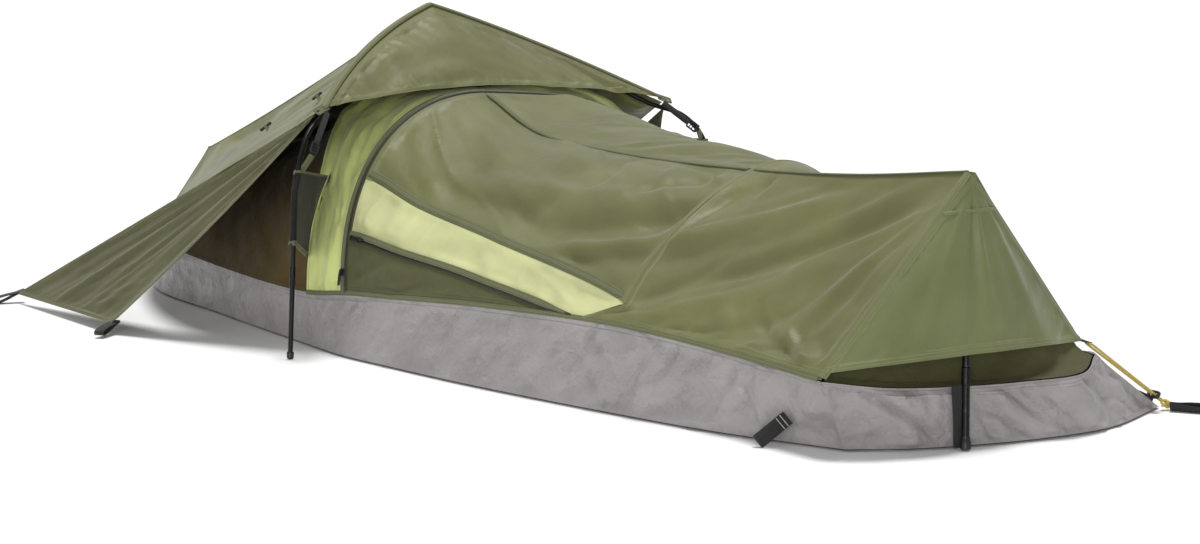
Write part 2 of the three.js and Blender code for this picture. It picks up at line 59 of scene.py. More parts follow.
EAVE = [
    (-1140, 122, 96), (-930, 252, 94), (-560, 330, 93), (-168, 372, 98), (-20, 372, 114),
    (130, 362, 124), (360, 343, 139), (705, 298, 147), (960, 264, 134), (1207, 262, 122),
]
FIRST_COVER_KEY = 3
RIDGE = [
    (-240, 0, 452), (-135, 0, 446), (40, 0, 389), (300, 0, 374), (690, 0, 382), (965, 0, 400), (1247, 0, 433),
]
ROUNDNESS = (1, 1, 0.95, 0.8, 0.45, 0.2, 0)
# How much fuller the far side is at each station: the width and lift of its low and high shoulders.
FAR_FULLNESS = (
    (0.18, 0.28, 0.25, -0.1), (0.18, 0.28, 0.25, -0.1), (0.15, 0.22, 0.22, 0.26), (0, 0.23, 0, 0.385),
    (0, 0.23, 0, 0.375), (0, 0.12, 0, 0.2), (0, 0, 0, 0),
)
ZIP_STATION, SEAM_STATION, FOOT_STATION, WEDGE_END_STATION = 1, 4, 6, 3.75
ZIP_HEIGHT, WEDGE_HEIGHT, WEDGE_TIP, MESH_START = 0.18, 0.36, 0.1, 0.52
TAPE_STATIONS = 0.18
TAPE_RISE = 22 / 470
FLOOR_NEAR = [
    (-1150, -128, 0), (-930, -280, 0), (-560, -334, 0), (-168, -378, 0), (-20, -392, 0),
    (130, -385, 0), (360, -368, 0), (705, -322, 0), (960, -275, 0), (1190, -200, 0),
]
FLOOR_FAR = [(x, -y, z) for x, y, z in FLOOR_NEAR[:8]] + [(960, 320, 0), (1205, 458, 0)]
FOOT_FLOOR = [(1190, -200, 0), (1240, -120, 0), (1268, -40, 0), (1296, 90, 0), (1294, 260, 0), (1205, 458, 0)]
FOOT_TOP = [
    (1207, -262, 120), (1246, -165, 106), (1267, -40, 98), (1290, 80, 97), (1296, 200, 99), (1232, 286, 112),
]
HEAD_BULGE = 24
PEAK = (-327, 0, 601)
HOOD_CORNER = {-1: (-93, -377, 443), 1: (-93, 377, 419)}
CROWN_BOW = (-32, 0, 13)
HOOD_HEM_MIDDLE = (-153, 0, 457)
FLY_TIP = (-1176, 16, 250)
FLY_HEM = [
    (-104, 386, 432), (-240, 421, 362), (-376, 455, 292), (-620, 420, 190), (-900, 312, 132),
    (-1180, 128, 102),
]
PEG_FOOT, PEG_HEAD = (-480, 612, 20), (-932, 585, 20)
LEG_FOOT, LEG_TOP = (-50, 478, 0.3), (-52, 463, 300)
ELBOW = [(-55, 457, 326), (-62, 443, 364), (-80, 417, 402), (-114, 360, 434)]
SLEEVE_DEPTH, HUB_SHARE = 12, 0.07
FOOT_POLE_BASE, FOOT_POLE_TOP = (1292, -40, 1.5), (1241, 0, 414)
FOOT_APEX, FOOT_HEM_BULGE, FOOT_EAVE = (1247, 0, 433), (78, -33, 18), (1212, 268, 134)
FOOT_FLY_STANDOFF = 6
HEAD_TOP, HEAD_TOP_CROWN = (-1118, 92, 168), 16
GUY_TOP, GUY_END = (1222, 284, 128), (1219, 452, 16)
GUY_SPREAD_TOP, GUY_SPREAD_END = 7, 4
AWNING_DROP = {-1: 9, 1: 16}

NEAR, FAR = -1, 1
SIDE_NAME = {NEAR: "near", FAR: "far"}


def at(points):
    """Points in the part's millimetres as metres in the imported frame."""
    out = np.array(points, float) / 1000
    out[..., 0] -= MID_LENGTH / 1000
    return out


def offset(vector):
    return np.array(vector, float) / 1000


# ---------------------------------------------------------------- curves, noise and small maths
def lerp(a, b, t):
    return a + (b - a) * t


def unit(v):
    v = np.asarray(v, float)
    return v / np.maximum(np.linalg.norm(v, axis=-1, keepdims=True), 1e-12)


def smooth(x, low, high):
    t = np.clip((x - low) / (high - low), 0, 1)
    return t * t * (3 - 2 * t)


def bow(share):
    """A parabola that is 0 at both ends and 1 in the middle."""
    return 4 * share * (1 - share)


def rail(keys):
    """A centripetal Catmull-Rom curve through the keys, as a function of the share along it."""
    keys = np.asarray(keys, float)
    ends = np.vstack([2 * keys[0] - keys[1], keys, 2 * keys[-1] - keys[-2]])
    count = len(keys)

    def curve(share):
        t = np.clip(np.asarray(share, float), 0, 1) * (count - 1)
        i = np.clip(np.floor(t).astype(int), 0, count - 2)
        w = (t - i)[..., None]
        p0, p1, p2, p3 = (ends[i + k] for k in range(4))
        d0, d1, d2 = (
            np.sqrt(np.linalg.norm(b - a, axis=-1, keepdims=True)) for a, b in ((p0, p1), (p1, p2), (p2, p3))
        )
        m1 = ((p1 - p0) / d0 - (p2 - p0) / (d0 + d1) + (p2 - p1) / d1) * d1
        m2 = ((p2 - p1) / d1 - (p3 - p1) / (d1 + d2) + (p3 - p2) / d2) * d1
        return p1 + m1 * w + (-3 * p1 + 3 * p2 - 2 * m1 - m2) * w**2 + (2 * p1 - 2 * p2 + m1 + m2) * w**3

    return curve


def lattice(ix, iy, seed):
    h = (ix.astype(np.int64) * 374761393 + iy.astype(np.int64) * 668265263 + seed * 362437) & 0xFFFFFFFF
    h = ((h ^ (h >> 13)) * 1274126177) & 0xFFFFFFFF
    return ((h ^ (h >> 16)) & 0xFFFF) / 32767.5 - 1


def noise(x, y, seed=0):
    """Smooth value noise from -1 to 1, one lattice cell per unit."""
    x, y = x * 0.921 + y * 0.389, y * 0.921 - x * 0.389
    ix, iy = np.floor(x), np.floor(y)
    fx, fy = x - ix, y - iy
    sx, sy = (f * f * f * (f * (f * 6 - 15) + 10) for f in (fx, fy))
    low = lerp(lattice(ix, iy, seed), lattice(ix + 1, iy, seed), sx)
    high = lerp(lattice(ix, iy + 1, seed), lattice(ix + 1, iy + 1, seed), sx)
    return lerp(low, high, sy)


def crease(x, y, seed=0, sharp=2.0):
    """Thin raised lines where the noise passes zero, from 0 to 1."""
    return (1 - np.abs(noise(x, y, seed))) ** (sharp * 3)


def run(points):
    """The length along a line up to each of its points."""
    return np.concatenate([[0], np.cumsum(np.linalg.norm(np.diff(points, axis=0), axis=1))])


def folds(s, t, angle, length, width, seed):
    """Long soft folds: waves of the given width that run at an angle to s for about the given length."""
    along = s * math.cos(angle) + t * math.sin(angle)
    across = t * math.cos(angle) - s * math.sin(angle)
    bend = 0.35 * width * noise(along / length * 1.7, across / (4 * width), seed + 7)
    return noise(along / length, (across + bend) / width, seed)


def waves(s, t, *rows):
    """Several runs of folds added up. Each row is their height, angle, length, width and seed."""
    return sum(height * folds(s, t, *row) for height, *row in rows)


def fold_line(x, z, keys, width, height):
    """One fold along a given line in the side view: sharp above, soft below, fading at its ends."""
    keys = rail([(a, 0.0, b) for a, b in keys])(np.linspace(0, 1, 24))[:, ::2]
    best = np.full(x.shape, 1e9)
    side = np.zeros(x.shape)
    share = np.zeros(x.shape)
    for i, (a, b) in enumerate(zip(keys[:-1], keys[1:])):
        d = b - a
        t = np.clip(((x - a[0]) * d[0] + (z - a[1]) * d[1]) / (d @ d), 0, 1)
        dx, dz = x - (a[0] + t * d[0]), z - (a[1] + t * d[1])
        far = np.hypot(dx, dz)
        closer = far < best
        best = np.where(closer, far, best)
        side = np.where(closer, np.sign(d[0] * dz - d[1] * dx) * np.sign(d[0] + 1e-9), side)
        share = np.where(closer, (i + t) / (len(keys) - 1), share)
    reach = np.where(side > 0, 0.75 * width, 1.35 * width)
    return height * np.exp(-((best / reach) ** 2)) * smooth(share, 0, 0.25) * (1 - smooth(share, 0.75, 1))


# ---------------------------------------------------------------- the surfaces
eave_line = rail(at(EAVE))
ridge_line = rail(at(RIDGE))
floor_line = {NEAR: rail(at(FLOOR_NEAR)), FAR: rail(at(FLOOR_FAR))}
foot_floor_line = rail(at(FOOT_FLOOR))
foot_top_line = rail(at(FOOT_TOP))
fly_hem_line = rail(at(FLY_HEM))


def on_side(points, side):
    return np.asarray(points, float) * [1, side, 1]


def cover(station, rise, side):
    """A point of the cover: station from head to foot, rise from 0 at the eave to 1 at the ridge."""
    station, rise, side = np.broadcast_arrays(*(np.asarray(x, float) for x in (station, rise, side)))
    eave = eave_line((station + FIRST_COVER_KEY) / (len(EAVE) - 1)).copy()
    eave[..., 1] *= side
    ridge = ridge_line(station / FOOT_STATION)
    roundness = np.interp(station, range(len(ROUNDNESS)), ROUNDNESS)
    height = ridge[..., 2] - eave[..., 2]
    fuller = [np.interp(station, range(len(ROUNDNESS)), column) * (side > 0) for column in zip(*FAR_FULLNESS)]

    def shoulder(width, lift):
        x = lerp(ridge[..., 0], eave[..., 0], 1 - np.minimum(lift, 1))
        return np.stack([x, eave[..., 1] * width, eave[..., 2] + height * lift], -1)

    low = shoulder(lerp(2 / 3, 0.9, roundness) + fuller[0], lerp(1 / 3, 0.65, roundness) + fuller[1])
    high = shoulder(lerp(1 / 3, 0.5, roundness) + fuller[2], lerp(2 / 3, 1.03, roundness) + fuller[3])
    t = rise[..., None]
    return eave * (1 - t) ** 3 + low * 3 * t * (1 - t) ** 2 + high * 3 * t**2 * (1 - t) + ridge * t**3


def over_ridge(station, girth):
    """A point of the cover by girth, from -1 at the near eave over 0 at the ridge to 1 at the far eave."""
    return cover(station, 1 - np.abs(girth), np.where(np.asarray(girth) < 0, NEAR, FAR))


def zip_rise(station):
    share = np.maximum((station - ZIP_STATION) / (WEDGE_END_STATION - ZIP_STATION), 0)
    return ZIP_HEIGHT * (1 - share**3)


def wedge_rise(station):
    share = np.maximum((station - ZIP_STATION) / (SEAM_STATION - ZIP_STATION), 0)
    return lerp(WEDGE_HEIGHT, WEDGE_TIP, share**2.6)


def tape_foot(station):
    return np.maximum(zip_rise(station) - TAPE_RISE, 0)


def head_edge(corner, share):
    """The head end's edge at a height, bowed out between the two side edges; share runs from near to far."""
    x, y, z = at(corner)
    share = np.asarray(share, float)
    out = HEAD_BULGE / 1000 * bow(share)
    return np.stack([x - out, lerp(-y, y, share), np.full(share.shape, z)], -1)


def crown(share, side):
    """The line over the hoop pole: 0 at the peak, 1 at the hood's corner."""
    share = np.asarray(share, float)[..., None]
    return lerp(at(PEAK), at(HOOD_CORNER[side]), share) + offset(CROWN_BOW) * bow(share)


def hood_hem(share, side):
    corner, middle = at(HOOD_CORNER[side]), at(HOOD_HEM_MIDDLE)
    share = np.asarray(share, float)
    bend = share * share
    return np.stack(
        [lerp(middle[0], corner[0], bend), corner[1] * share, lerp(middle[2], corner[2], bend)], -1
    )


def both_sides(line, across):
    """A line that exists on each side, read across from -1, near, to 1, far."""
    across = np.asarray(across, float)
    return np.where(across[..., None] < 0, line(np.abs(across), NEAR), line(np.abs(across), FAR))


def fly_hem(share, side):
    point = fly_hem_line(share).copy()
    point[..., 1] *= side
    drop = (HOOD_CORNER[side][2] - HOOD_CORNER[NEAR][2]) / 1000
    point[..., 2] += drop * (1 - np.asarray(share)) ** 4
    return point


FLY_SAG, RIDGE_CAP_LIFT = 0.010, 0.0004
FLY_SETTLE, AWNING_SETTLE = 0.0075, 0.004


def fly_side(u, v, side):
    """The head fly on one side: u from the hood's crown to the head end, v from the hem up to the ridge."""
    ridge = lerp(at(PEAK), at(on_side(FLY_TIP, side)), u[..., None])
    ridge[..., 2] -= FLY_SAG * bow(u)
    point = lerp(fly_hem(u, side), ridge, v[..., None])
    straight = lerp(at(HOOD_CORNER[side]), at(PEAK), v[..., None])
    point += (crown(1 - v, side) - straight) * ((1 - u) ** 6)[..., None]
    point[..., 2] += 0.014 * np.sin(np.pi * v) * np.sin(np.pi * np.minimum(u * 1.3, 1))
    return point


# ---------------------------------------------------------------- materials
def linear(rgb):
    """sRGB from 0 to 255 as linear colour."""
    out = []
    for value in rgb:
        c = value / 255
        out.append(c / 12.92 if c <= 0.04045 else ((c + 0.055) / 1.055) ** 2.4)
    return (*out, 1.0)


def scaled(colour, factor):
    return (*(min(c * factor, 1.0) for c in colour[:3]), 1.0)


class Nodes:
    """Short calls for building one material's nodes."""

    def __init__(self, name):
        self.material = bpy.data.materials.new(name)
        self.material.use_nodes = True
        self.tree = self.material.node_tree
        self.shader = self.tree.nodes["Principled BSDF"]

    def add(self, kind, **values):
        node = self.tree.nodes.new(kind)
        for key, value in values.items():
            if key.startswith("_"):
                setattr(node, key[1:], value)
            else:
                self.put(node.inputs[key.replace("_", " ")], value)
        return node

    def surface(self, **values):
        for key, value in values.items():
            self.put(self.shader.inputs[key.replace("_", " ")], value)
        return self.material

    def put(self, socket, value):
        if isinstance(value, bpy.types.NodeSocket):
            self.tree.links.new(value, socket)
        else:
            socket.default_value = value

    def maths(self, operation, a, b=0.0):
        node = self.tree.nodes.new("ShaderNodeMath")
        node.operation = operation
        self.put(node.inputs[0], a)
        self.put(node.inputs[1], b)
        return node.outputs[0]

    def times(self, a, b):
        return self.maths("MULTIPLY", a, b)

    def mix(self, factor, a, b):
        node = self.tree.nodes.new("ShaderNodeMix")
        node.data_type = "RGBA"
        self.put(node.inputs[0], factor)
        self.put(node.inputs[6], a)
        self.put(node.inputs[7], b)
        return node.outputs[2]

    def span(self, value, low, high, to_low=0.0, to_high=1.0):
        node = self.add("ShaderNodeMapRange", Value=value, From_Min=low, From_Max=high, To_Min=to_low,
                        To_Max=to_high)
        return node.outputs[0]

    def attribute(self, name):
        return self.add("ShaderNodeAttribute", _attribute_name=name).outputs["Fac"]

    def noise(self, vector, scale, detail=3.0, rough=0.55):
        node = self.add("ShaderNodeTexNoise", Vector=vector, Scale=scale, Detail=detail, Roughness=rough)
        return node.outputs[0]

    def bump(self, height, strength, distance, normal=None):
        node = self.add("ShaderNodeBump", Height=height, Strength=strength, Distance=distance)
        if normal is not None:
            self.put(node.inputs["Normal"], normal)
        return node.outputs[0]

    def near(self, value, row, width):
        """1 on a line at the given value, falling to 0 at width from it."""
        return self.span(self.maths("ABSOLUTE", self.maths("SUBTRACT", value, row)), 0.0, width, 1.0, 0.0)


THREAD_PITCH, RIPSTOP_CELL, NET_CELL = 0.0016, 0.0035, 0.0019
STITCH_ROWS, STITCH_PITCH = (0.0025, 0.0085), 0.0016


def cloth(name, rgb, roughness=0.6, sheen=0.15, crinkle=0.5, ripstop=0.5, thread=None, specular=0.35,
          variation=0.10, net=False):
    """Woven cloth: threads, ripstop lines, fine creases, patchy tone, two rows of stitches with painted shade
    along them, rubbed edges.

    thread is the stitches' colour. A net has see-through holes between its threads.
    """
    n = Nodes(name)
    uv = n.add("ShaderNodeUVMap").outputs[0]
    place = n.add("ShaderNodeTexCoord").outputs["Object"]
    split = n.add("ShaderNodeSeparateXYZ", Vector=uv)
    warp, weft = (n.maths("SINE", n.times(split.outputs[i], 2 * math.pi / THREAD_PITCH)) for i in (0, 1))
    cells = (n.maths("PINGPONG", split.outputs[i], RIPSTOP_CELL) for i in (0, 1))
    lines = (n.span(cell, 0.0, 0.0005, 1.0, 0.0) for cell in cells)
    grid = n.maths("MAXIMUM", *lines)
    patches = n.noise(place, 5.0, 4.0, 0.6)
    fine = n.noise(place, 60.0, 5.0, 0.65)
    seam_d, seam_s = n.attribute("seam_d"), n.attribute("seam_s")
    dash = n.span(n.maths("PINGPONG", seam_s, STITCH_PITCH), 0.0004, 0.0006)
    stitch_row_and_shade = n.maths("MAXIMUM", *(n.near(seam_d, row, 0.0010) for row in STITCH_ROWS))
    stitch = n.times(stitch_row_and_shade, dash)
    worn = n.times(n.span(seam_d, 0.0, 0.004, 1.0, 0.0), n.span(fine, 0.45, 0.7))

    base = linear(rgb)
    colour = n.mix(n.span(patches, 0.35, 0.65), scaled(base, 1 - 1.6 * variation),
                   scaled(base, 1 + variation))
    colour = n.mix(n.times(n.span(fine, 0.3, 0.7), 0.25), colour, base)
    colour = n.mix(n.times(grid, 0.12 * ripstop), colour, scaled(base, 0.7))
    # Painted shade: the cloth is darkened along each stitch row, standing for the shade in the seam's groove.
    colour = n.mix(n.times(stitch_row_and_shade, 0.45), colour, scaled(base, 0.35))
    colour = n.mix(n.times(stitch, 0.6), colour, linear(thread) if thread else scaled(base, 0.6))
    colour = n.mix(n.times(worn, 0.25), colour, scaled(base, 1.6))
    gloss = n.span(n.noise(place, 14.0, 4.0), 0.3, 0.7, roughness - 0.08, roughness + 0.10)
    n.surface(Base_Color=colour, Roughness=gloss, Sheen_Weight=sheen, Sheen_Roughness=0.4,
              Specular_IOR_Level=specular)

    wide = n.noise(place, 16.0, 4.0, 0.55)
    sharp = n.maths("ABSOLUTE", n.maths("SUBTRACT", n.noise(place, 30.0, 3.0, 0.5), 0.5))
    normal = n.bump(wide, 0.35 * crinkle, 0.012)
    normal = n.bump(sharp, 0.5 * crinkle, 0.008, normal)
    weave = n.times(n.maths("ADD", warp, weft), 0.25)
    normal = n.bump(n.maths("ADD", weave, n.times(grid, ripstop)), 0.25, 0.0003, normal)
    normal = n.bump(n.times(stitch_row_and_shade, -1.0), 0.7, 0.0008, normal)
    n.surface(Normal=n.bump(stitch, 0.6, 0.0005, normal))
    if net:
        slant = [
            n.maths("PINGPONG", n.maths(operation, split.outputs[0], split.outputs[1]), NET_CELL)
            for operation in ("ADD", "SUBTRACT")
        ]
        hole = n.times(n.span(slant[0], 0.0007, 0.0010), n.span(slant[1], 0.0007, 0.0010))
        n.surface(Alpha=n.span(hole, 0.0, 1.0, 1.0, 0.15))
    return n.material


def webbing(name, rgb, rib=0.0022, roughness=0.75):
    """Ribbed woven tape: ribs along its length, slanted threads and a fuzz of tone."""
    n = Nodes(name)
    uv = n.add("ShaderNodeUVMap").outputs[0]
    place = n.add("ShaderNodeTexCoord").outputs["Object"]
    split = n.add("ShaderNodeSeparateXYZ", Vector=uv)
    ribs = n.maths("SINE", n.times(split.outputs[1], 2 * math.pi / rib))
    slant = n.maths("ADD", split.outputs[0], n.times(split.outputs[1], 0.8))
    threads = n.maths("SINE", n.times(slant, 2 * math.pi / 0.0014))
    fuzz = n.noise(place, 300.0, 3.0)
    weave = n.maths("ADD", n.times(ribs, 0.6), n.times(threads, 0.4))
    base = linear(rgb)
    colour = n.mix(n.span(weave, -0.8, 0.8), scaled(base, 0.6), base)
    colour = n.mix(n.times(n.span(fuzz, 0.5, 0.75), 0.5), colour, scaled(base, 1.4))
    gloss = n.span(fuzz, 0.3, 0.7, roughness - 0.1, roughness + 0.1)
    return n.surface(Base_Color=colour, Roughness=gloss, Sheen_Weight=0.15, Normal=n.bump(weave, 0.7, 0.0004))


def moulded(name, rgb, roughness=0.45):
    """Moulded plastic: faint grain, flow marks and rubbed highlights."""
    n = Nodes(name)
    place = n.add("ShaderNodeTexCoord").outputs["Object"]
    grain = n.noise(place, 900.0, 2.0)
    flow = n.noise(place, 60.0, 3.0)
    base = linear(rgb)
    colour = n.mix(n.span(flow, 0.4, 0.8, 0.0, 0.5), base, scaled(base, 1.8))
    gloss = n.span(flow, 0.3, 0.7, roughness - 0.08, roughness + 0.12)
    return n.surface(Base_Color=colour, Roughness=gloss, Normal=n.bump(grain, 0.2, 0.0002))


def tube_metal(name, rgb):
    """Anodised tube: drawn lines along its length and small scuffs."""
    n = Nodes(name)
    place = n.add("ShaderNodeTexCoord").outputs["Object"]
    drawn = n.noise(n.add("ShaderNodeMapping", Vector=place, Scale=(900.0, 900.0, 12.0)).outputs[0], 1.0)
    scuffs = n.noise(place, 120.0, 4.0, 0.7)
    base = linear(rgb)
    colour = n.mix(n.span(scuffs, 0.62, 0.75, 0.0, 0.3), base, (0.2, 0.2, 0.21, 1))
    return n.surface(Base_Color=colour, Metallic=0.6, Roughness=n.span(drawn, 0.3, 0.7, 0.3, 0.5),
                     Normal=n.bump(drawn, 0.15, 0.0001))


PALE_THREAD = (150, 152, 112)


def olive(name, rgb, roughness=0.5, crinkle=0.3):
    return cloth(name, rgb, roughness, 0.2, crinkle, thread=PALE_THREAD)


MATERIALS = {
    "olive": olive("olive_cloth", (105, 107, 67), crinkle=0.35),
    "olive_foot": olive("olive_foot_cloth", (104, 110, 69)),
    # Painted shade: the same olive cloth, darkened to stand for the shade on the awnings and the head end's
    # fly.
    "shaded_fly": olive("shaded_fly_cloth", (82, 83, 50), 0.55),
    "binding": olive("binding_tape", (88, 92, 60), 0.7, 0.15),
    # Painted shade: the olive cloth of the lower walls, darkened to stand for the shade under the door's
    # edge.
    "dark": cloth("dark_cloth", (80, 82, 50), sheen=0.1),
    "inner": cloth("inner_cloth", (78, 62, 24), roughness=0.7, sheen=0.05, crinkle=0.7),
    "foot_inner": cloth("foot_inner_cloth", (76, 74, 44), roughness=0.7, sheen=0.05, crinkle=0.7),
    "lime": cloth("lime_cloth", (192, 195, 142), 0.42, 0.2, 0.4, specular=0.45),
    "lime_band": cloth("lime_band_cloth", (204, 213, 136), 0.36, 0.2, specular=0.5),
    "grey": cloth("grey_cloth", (146, 142, 142), 0.38, 0.1, 1.6, ripstop=0.25, specular=0.5),
    "tape": cloth("zip_tape", (74, 76, 46), roughness=0.7, crinkle=0.2, ripstop=0.0),
    "mesh": cloth("black_mesh", (26, 25, 22), roughness=0.8, crinkle=0.3, ripstop=0.0, net=True),
    "web": webbing("black_webbing", (24, 24, 23)),
    "line": webbing("yellow_line", (226, 200, 92), rib=0.0011, roughness=0.6),
    "plastic": moulded("black_plastic", (20, 20, 21)),
    "coil": moulded("zip_coil", (36, 37, 24), 0.5),
    "pole": tube_metal("black_tube", (18, 18, 19)),
    "thread": webbing("pale_thread", (190, 188, 176), rib=0.0008),
}


# ---------------------------------------------------------------- mesh makers
# Degrees past which an edge looks sharp.
SOFT_SHARP, STRAP_SHARP = 35, 50
HEM_HEIGHT = 0.0013
TURNED_SIDES = 20
SHEETS = {}


def link(name, data):
    piece = bpy.data.objects.new(name, data)
    bpy.context.scene.collection.objects.link(piece)
    return piece


def axes_at(x, y, z, origin):
    return Matrix([[x[i], y[i], z[i], origin[i]] for i in range(3)] + [[0, 0, 0, 1]])


def make_object(name, vertices, faces, material, uv, seam_d=None, seam_s=None, sharp=SOFT_SHARP):
    """A mesh object with flat coordinates, and each point's distance to a stitch row and place along it."""
    mesh = bpy.data.meshes.new(name)
    mesh.from_pydata(vertices.tolist(), [], faces)
    mesh.polygons.foreach_set("use_smooth", np.ones(len(mesh.polygons), bool))
    corner = np.zeros(len(mesh.loops), np.int32)
    mesh.loops.foreach_get("vertex_index", corner)
    layer = mesh.uv_layers.new(name="UVMap")
    layer.data.foreach_set("uv", np.asarray(uv, np.float32)[corner].ravel())
    seam_d = np.ones(len(vertices)) if seam_d is None else seam_d
    seam_s = np.zeros(len(vertices)) if seam_s is None else seam_s
    for key, value in (("seam_d", seam_d), ("seam_s", seam_s)):
        attribute = mesh.attributes.new(key, "FLOAT", "POINT")
        attribute.data.foreach_set("value", np.asarray(value, np.float32).ravel())
    mesh.set_sharp_from_angle(angle=math.radians(sharp))
    mesh.update()
    mesh.materials.append(MATERIALS[material])
    return link(name, mesh)


def finish_piece(piece, nodes=(), body="shell", on=None):
    """Gives a piece its body and hides its CAD nodes. What is sewn on a sheet moves with that sheet. A door
    piece gets no body; its transform is baked into its mesh."""
    if on:
        SHEETS[on]["with"].append(piece)
        body = SHEETS[on]["body"]
    if body == "door":
        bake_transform(piece)
    else:
        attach(piece, body)
    if nodes:
        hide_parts(*nodes)
    return piece


def grid_faces(n, m):
    i, j = np.meshgrid(np.arange(n - 1), np.arange(m - 1), indexing="ij")
    a = (i * m + j).ravel()
    return np.stack([a, a + m, a + m + 1, a + 1], 1)


def border_loop(n, m):
    top = [i * m for i in range(n)]
    right = [(n - 1) * m + j for j in range(1, m)]
    bottom = [i * m + m - 1 for i in range(n - 2, -1, -1)]
    left = [j for j in range(m - 2, 0, -1)]
    return np.array(top + right + bottom + left)


def arc_lengths(points):
    """Lengths along both directions of a grid of points."""
    along_u = np.zeros(points.shape[:2])
    along_v = np.zeros(points.shape[:2])
    along_u[1:] = np.cumsum(np.linalg.norm(np.diff(points, axis=0), axis=-1), 0)
    along_v[:, 1:] = np.cumsum(np.linalg.norm(np.diff(points, axis=1), axis=-1), 1)
    return along_u, along_v


def sheet_area(points):
    a, b = points[1:, 1:] - points[:-1, :-1], points[1:, :-1] - points[:-1, 1:]
    return float(0.5 * np.linalg.norm(np.cross(a, b), axis=-1).sum())


def stitched_edges(edge, sv, su, bands, pucker):
    """The height of the turned hems, and each point's distance to the hem's inner edge and place along it."""
    height = np.zeros(su.shape)
    seam_d, seam_s = np.ones(su.shape), np.zeros(su.shape)
    for key, width in bands.items():
        d = edge[key]
        along = sv if key in "uU" else su
        height += HEM_HEIGHT * (1 - smooth(d, width, width + 0.0025))
        ripple = noise(along / 0.016, d / 0.05, 11) + 0.6 * noise(along / 0.007, d / 0.03, 12)
        beside = smooth(d, width - 0.004, width) * (1 - smooth(d, width + 0.004, width + 0.030))
        height += pucker * ripple * beside
        row = np.where(d < width + 0.004, np.abs(width - d), 1.0)
        seam_s = np.where(row < seam_d, along, seam_s)
        seam_d = np.minimum(row, seam_d)
    return height, seam_d, seam_s


def panel(name, surface, step, material, nodes, out, wrinkle=None, bands=None, body="shell",
          pinned="uUvV", pin_width=0.045, thick=0.0009, pucker=0.0008, proud=0.0, held="stretched"):
    """A cloth panel. surface(u, v) gives its points; step is the size of its mesh; wrinkle(f) gives heights.

    bands maps an edge (u, U, v or V: low or high end of u or v) to the width of the turned hem along it.
    """
    rough_u, rough_v = np.meshgrid(np.linspace(0, 1, 9), np.linspace(0, 1, 9), indexing="ij")
    su, sv = arc_lengths(surface(rough_u, rough_v))
    n = int(np.clip(su[-1].max() / step, 6, 260)) + 1
    m = int(np.clip(sv[:, -1].max() / step, 6, 260)) + 1
    u, v = np.meshgrid(np.linspace(0, 1, n), np.linspace(0, 1, m), indexing="ij")
    points = surface(u, v)
    su, sv = arc_lengths(points)
    normal = grid_normals(points, out)
    edge = {"u": su, "U": su[-1:] - su, "v": sv, "V": sv[:, -1:] - sv}
    height = np.full(u.shape, proud)
    if wrinkle is not None:
        hold = np.ones(u.shape)
        for key in pinned:
            hold *= smooth(edge[key], 0.0, pin_width)
        height += wrinkle({"u": u, "v": v, "s": su, "t": sv, "p": points}) * hold
    hem, seam_d, seam_s = stitched_edges(edge, sv, su, bands or {}, pucker)
    outer = points + normal * (height + hem)[..., None]
    inner = outer - normal * thick
    faces, loop, count = grid_faces(n, m), border_loop(n, m), n * m
    i, j = n // 2, m // 2
    facing = np.cross(points[i + 1, j] - points[i, j], points[i, j + 1] - points[i, j]) @ normal[i, j]
    if facing < 0:
        faces, loop = faces[:, ::-1], loop[::-1]
    after = np.roll(loop, -1)
    sides = np.stack([loop, loop + count, after + count, after], 1)
    uv = np.stack([su.ravel(), sv.ravel()], 1)
    piece = make_object(
        name, np.vstack([outer.reshape(-1, 3), inner.reshape(-1, 3)]),
        np.vstack([faces, faces[:, ::-1] + count, sides]).tolist(), material, np.vstack([uv, uv]),
        np.tile(seam_d.ravel(), 2), np.tile(seam_s.ravel(), 2),
    )
    SHEETS[name] = {
        "obj": piece, "flat": (float(sv[:, -1].max()), float(su[-1].max())), "area": sheet_area(points),
        "held": held, "with": [], "body": body,
    }
    return finish_piece(piece, nodes, body)


def grid_normals(points, out):
    normal = unit(np.cross(np.gradient(points, axis=0), np.gradient(points, axis=1)))
    middle = normal[points.shape[0] // 2, points.shape[1] // 2]
    return normal if middle @ np.asarray(out, float) > 0 else -normal


def declare_sheets():
    for sheet in SHEETS.values():
        w, l = sorted(sheet["flat"])
        w = min(w, 2 * sheet["area"] / l)


def sweep(name, points, lateral, profile, material, scale=1.0, sharp=SOFT_SHARP, seam_d=None, seam_s=None):
    """A closed profile (sideways, up) carried along a line of points. lateral is the sideways direction."""
    points, profile = np.asarray(points, float), np.asarray(profile, float)
    n, k = len(points), len(profile)
    tangent = unit(np.gradient(points, axis=0))
    lateral = np.broadcast_to(np.asarray(lateral, float), points.shape)
    lateral = unit(lateral - tangent * (lateral * tangent).sum(-1, keepdims=True))
    up = np.cross(tangent, lateral)
    scale = np.broadcast_to(scale, n)[:, None, None]
    sideways, upwards = profile[None, :, :1] * scale, profile[None, :, 1:] * scale
    ring = points[:, None] + lateral[:, None] * sideways + up[:, None] * upwards
    i, j = np.meshgrid(np.arange(n - 1), np.arange(k), indexing="ij")
    beside = (j + 1) % k
    quads = np.stack([i * k + j, i * k + beside, (i + 1) * k + beside, (i + 1) * k + j], -1).reshape(-1, 4)
    faces = quads.tolist() + [list(range(k - 1, -1, -1)), [(n - 1) * k + j for j in range(k)]]
    x, y = profile.T
    if np.sum(x * np.roll(y, -1) - np.roll(x, -1) * y) < 0:
        faces = [face[::-1] for face in faces]
    uv = np.stack(np.broadcast_arrays(run(points)[:, None], run(profile)[None]), -1).reshape(-1, 2)
    return make_object(name, ring.reshape(-1, 3), faces, material, uv, seam_d, seam_s, sharp)


def circle(radius, sides=12):
    angle = np.linspace(0, 2 * math.pi, sides, endpoint=False)
    return np.stack([radius * np.cos(angle), radius * np.sin(angle)], 1)


def two_halves(half):
    """A closed outline from the half below its long axis."""
    return [*half, *((x, -y) for x, y in reversed(half))]


